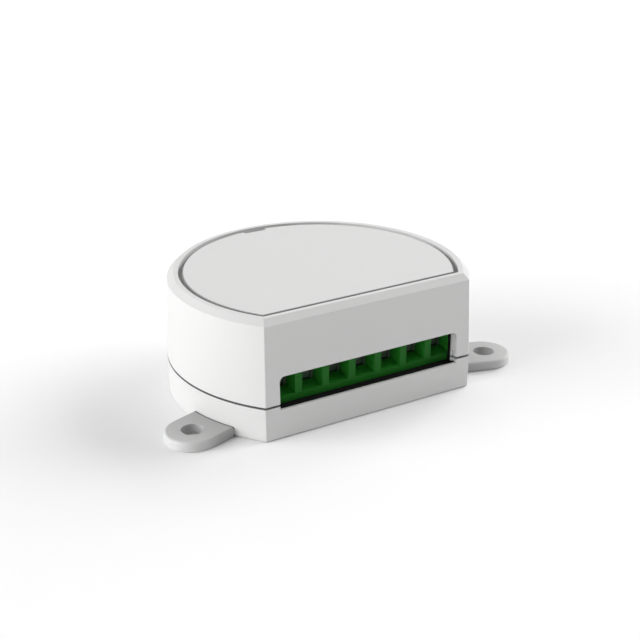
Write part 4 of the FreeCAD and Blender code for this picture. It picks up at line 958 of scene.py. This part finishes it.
class UNIT_OT_leg_chips(bpy.types.Operator):
    """Bend the legs of the two chips and the tabs of the diodes"""
    bl_idname = "control_unit.leg_chips"
    bl_label = "Leg Chips"

    def execute(self, context):
        board = span("circuit_board")[0].z

        def leg(start, half, bottom, top, out, bend, foot):
            """A leg that leaves a side, bends by a run and a rise, and ends in a flat foot."""
            made = block((start.x - 0.05, start.y - half, bottom),
                         (start.x + out, start.y + half, top))
            pick(made, "FACE", lambda middle, normal: normal.x > ALONG)
            push(made, (bend[0], 0.0, bend[1]))
            push(made, (foot, 0.0, 0.0))
            return made

        low, high = span("controller_chip")
        middle = (low + high) / 2
        out = leg(Vector((high.x, middle.y)), 0.15, board - 0.63, board - 0.50, 0.20,
                  (0.22, 0.49), 0.36)
        row = repeat(out, [(0.0, 0.8 * (n - 3.5), 0.0) for n in range(8)])
        square = turned(row, middle, (0.0, 90.0, 180.0, 270.0))

        low, high = span("power_chip")
        middle = (low + high) / 2
        out = leg(Vector((high.x, middle.y)), 0.13, low.z + 0.56, low.z + 0.70, 0.12,
                  (0.16, -0.56), 0.30)
        row = repeat(out, [(0.0, 0.75 * (n - 1.5), 0.0) for n in range(4)])
        pair = turned(row, middle, (0.0, 180.0))

        low, high = span("rectifier_diodes")
        length_x, width_y, step_x, step_y = 4.2, 2.6, 6.0, 4.5
        out = leg(Vector((low.x + length_x, low.y + width_y / 2)), 0.70, board - 0.60,
                  board - 0.45, 0.10, (0.12, 0.45), 0.30)
        tabs = turned(out, (low.x + length_x / 2, low.y + width_y / 2, 0.0), (0.0, 180.0))
        tabs = repeat(tabs, [(step_x * i, step_y * j, 0.0) for i in (0, 1) for j in (0, 1)])
        finish_piece(joined([square, pair, tabs]), "chip_legs", "housing",
                     "tinned_copper")
        return {"FINISHED"}


class UNIT_OT_cover_switch(bpy.types.Operator):
    """Fit the steel cover plate of the programming switch and its four rivets"""
    bl_idname = "control_unit.cover_switch"
    bl_label = "Cover Switch"

    def execute(self, context):
        low, high = span("switch_case")
        plunger_low, plunger_high = span("switch_plunger")
        centre = (plunger_low + plunger_high) / 2
        hole = (plunger_high.x - plunger_low.x) / 2 + 0.15
        margin, plate_rise, rivet_reach, tab_half = 0.1, 0.20, 2.25, 0.8
        plate = block((low.x + margin, low.y + margin, high.z - 0.02),
                      (high.x - margin, high.y - margin, high.z + plate_rise))
        cutter = rod((centre.x, centre.y, high.z), hole, 2.0, 48)
        hold(plate)
        opening = plate.modifiers.new("plunger_hole", "BOOLEAN")
        opening.operation = "DIFFERENCE"
        opening.object = cutter
        bpy.ops.object.modifier_apply(modifier=opening.name)
        drop(cutter)
        soften(plate, lambda middle, run: along_z(middle, run) and abs(middle.x - centre.x) > 2.5,
               0.35, 3)
        rivet = rod((centre.x - rivet_reach, centre.y - rivet_reach, high.z + 0.22), 0.36, 0.14, 16)
        pick(rivet, "FACE", faces_up)
        push(rivet, (0.0, 0.0, 0.08), (0.72, 0.72, 1.0))
        rivets = repeat(rivet, [(2 * rivet_reach * i, 2 * rivet_reach * j, 0.0)
                                for i in (0, 1) for j in (0, 1)])
        tab = block((centre.x - tab_half, low.y - 0.10, high.z - 1.6),
                    (centre.x + tab_half, low.y + 0.12, high.z + 0.18))
        soften(tab, lambda middle, run: abs(run.y) > ALONG and middle.z < high.z - 1.0, 0.3, 3)
        tabs = turned(tab, centre, (0.0, 180.0))
        finish_piece(joined([plate, rivets, tabs]), "switch_cover", "housing",
                     "zinc_steel")
        return {"FINISHED"}


# Parts with a printed outline, and the room that it leaves round them in millimetres
SQUARE_OUTLINES = {"relay_left": 0.35, "relay_right": 0.35, "film_capacitor": 0.3,
                   "fuse_resistor": 0.25, "varistor": 0.3, "power_chip": 1.0, "switch_case": 0.3,
                   "terminal_housing": 0.3, "radio_board": 0.75}
ROUND_OUTLINES = {"reservoir_capacitor": 0.2, "output_capacitor": 0.3, "choke_core": 0.3}


class UNIT_OT_print_board(bpy.types.Operator):
    """Print the outlines of the parts on the top of the main board"""
    bl_idname = "control_unit.print_board"
    bl_label = "Print Board"

    def execute(self, context):
        low, high = span("circuit_board")
        bottom, top, line_width = high.z - 0.01, high.z + 0.02, 0.14
        lines = []
        for node, room in SQUARE_OUTLINES.items():
            start, end = span(node)
            front = max(start.y - room, low.y + 0.2)
            lines.append(block((start.x - room, front, bottom), (end.x + room, end.y + room, top)))
        for node, room in ROUND_OUTLINES.items():
            start, end = span(node)
            middle = (start + end) / 2
            lines.append(rod((middle.x, middle.y, (bottom + top) / 2),
                             (end.x - start.x) / 2 + room, top - bottom, 40))
        for line in lines:
            open_through(line, along_z, line_width)
        finish_piece(joined(lines), "board_print", "housing", "board_ink")
        return {"FINISHED"}


# Stage

# Each light: its setting, then its direction from the +X axis and above the floor, in degrees
LIGHTS = (("left", 170.0, 8.0), ("left_high", 170.0, 40.0), ("right", 0.0, 25.0),
          ("rear", 55.0, 20.0), ("front", -140.0, 15.0))
LIGHT_AIM = (0.0, 0.0, 10.0 * MM)
# The floor lies this much under the unit, and the tent starts this much under the floor
FLOOR_DROP = 0.02 * MM
TENT_SINK = 0.27


def floor_paper(stage):
    """Matt pale floor with slow patches."""
    made, tree, place, shader = start_material("floor_paper")
    slow = add(tree, "ShaderNodeTexNoise", None, Vector=place, Scale=6.0, Detail=3.0)
    feed(tree, shader.inputs["Base Color"],
         between(tree, slow.outputs["Fac"], shade(stage.floor, 0.995), shade(stage.floor, 1.005)))
    shader.inputs["Roughness"].default_value = 0.9
    return dull(made, 0.2)


def tent_cloth():
    """White cloth that shines evenly."""
    made, tree, place, shader = start_material("tent_cloth")
    folds = add(tree, "ShaderNodeTexNoise", None, Vector=place, Scale=0.8, Detail=2.0)
    feed(tree, shader.inputs["Emission Color"],
         between(tree, folds.outputs["Fac"], (0.99, 0.99, 0.99), (1.0, 1.0, 1.0)))
    shader.inputs["Emission Strength"].default_value = 1.0
    return made


def stand(name, material):
    """Name the stage piece just made, and give it its material."""
    made = bpy.context.object
    made.name = name
    made.data.materials.append(material)
    return made


def look_at(made, place, aim):
    made.location = place
    made.rotation_euler = (Vector(aim) - Vector(place)).to_track_quat("-Z", "Y").to_euler()


def soft_light(name, azimuth, elevation, stage):
    """A large square area light that looks at the unit."""
    lamp = bpy.data.lights.new(name + "_light", "AREA")
    lamp.shape = "SQUARE"
    lamp.size = stage.light_size
    lamp.energy = getattr(stage, name)
    made = bpy.data.objects.new(lamp.name, lamp)
    bpy.context.collection.objects.link(made)
    turn, rise = math.radians(azimuth), math.radians(elevation)
    place = stage.reach * Vector((math.cos(rise) * math.cos(turn), math.cos(rise) * math.sin(turn),
                                  math.sin(rise)))
    look_at(made, place, LIGHT_AIM)


class UNIT_OT_set_stage(bpy.types.Operator):
    """Lay the pale floor, put up the tent and set the soft lights and the camera"""
    bl_idname = "control_unit.set_stage"
    bl_label = "Set Stage"

    def execute(self, context):
        stage = context.scene.control_unit_stage
        let_go()
        bpy.ops.mesh.primitive_plane_add(size=stage.floor_size, location=(0.0, 0.0, -FLOOR_DROP))
        stand("floor", floor_paper(stage))
        let_go()
        bpy.ops.mesh.primitive_cylinder_add(
            vertices=64, radius=stage.tent_radius, depth=stage.floor_size, end_fill_type="NOTHING",
            location=(0.0, 0.0, stage.floor_size / 2 - TENT_SINK))
        tent = stand("tent", tent_cloth())
        tent.visible_diffuse = tent.visible_glossy = tent.visible_shadow = False

        world = bpy.data.worlds.new("white_tent")
        world.use_nodes = True
        backdrop = world.node_tree.nodes["Background"]
        backdrop.inputs["Color"].default_value = (1.0, 1.0, 1.0, 1.0)
        backdrop.inputs["Strength"].default_value = stage.world
        context.scene.world = world

        for name, azimuth, elevation in LIGHTS:
            soft_light(name, azimuth, elevation, stage)

        lens = bpy.data.cameras.new("photo_camera")
        lens.sensor_width = 36.0
        lens.lens = stage.lens
        lens.clip_start = 0.01
        camera = bpy.data.objects.new("photo_camera", lens)
        context.collection.objects.link(camera)
        look_at(camera, stage.eye, stage.aim)
        context.scene.camera = camera
        context.scene.view_settings.view_transform = "Standard"
        return {"FINISHED"}


OPERATORS = (
    UNIT_OT_finish_case,
    UNIT_OT_finish_terminals,
    UNIT_OT_finish_board,
    UNIT_OT_shade_window_gap,
    UNIT_OT_guard_cages,
    UNIT_OT_wind_choke,
    UNIT_OT_wind_transformer,
    UNIT_OT_solder_board,
    UNIT_OT_trim_relays,
    UNIT_OT_top_cans,
    UNIT_OT_leg_chips,
    UNIT_OT_cover_switch,
    UNIT_OT_print_board,
    UNIT_OT_set_stage,
)


class UNIT_PT_control_unit(bpy.types.Panel):
    """Settings and steps of the control unit"""
    bl_idname = "UNIT_PT_control_unit"
    bl_label = "Lighting Control Unit"
    bl_space_type = "VIEW_3D"
    bl_region_type = "UI"
    bl_category = "Control Unit"

    def draw(self, context):
        layout = self.layout
        for key, group in SETTINGS.items():
            box = layout.box()
            box.label(text=group.__doc__)
            settings = getattr(context.scene, key)
            for name in group.__annotations__:
                box.prop(settings, name)
        for step in OPERATORS:
            layout.operator(step.bl_idname)


SETTINGS = {
    "control_unit_case": ControlUnitCase,
    "control_unit_terminals": ControlUnitTerminals,
    "control_unit_board": ControlUnitBoard,
    "control_unit_stage": ControlUnitStage,
}


def register():
    for group in SETTINGS.values():
        bpy.utils.register_class(group)
    for step in OPERATORS:
        bpy.utils.register_class(step)
    bpy.utils.register_class(UNIT_PT_control_unit)
    for key, group in SETTINGS.items():
        setattr(bpy.types.Scene, key, PointerProperty(type=group))


def unregister():
    for key in SETTINGS:
        delattr(bpy.types.Scene, key)
    bpy.utils.unregister_class(UNIT_PT_control_unit)
    for step in reversed(OPERATORS):
        bpy.utils.unregister_class(step)
    for group in reversed(SETTINGS.values()):
        bpy.utils.unregister_class(group)


def main():
    """Run every step in order."""
    register()
    for step in OPERATORS:
        area, name = step.bl_idname.split(".")
        getattr(getattr(bpy.ops, area), name)()


if __name__ == "__main__":
    main()
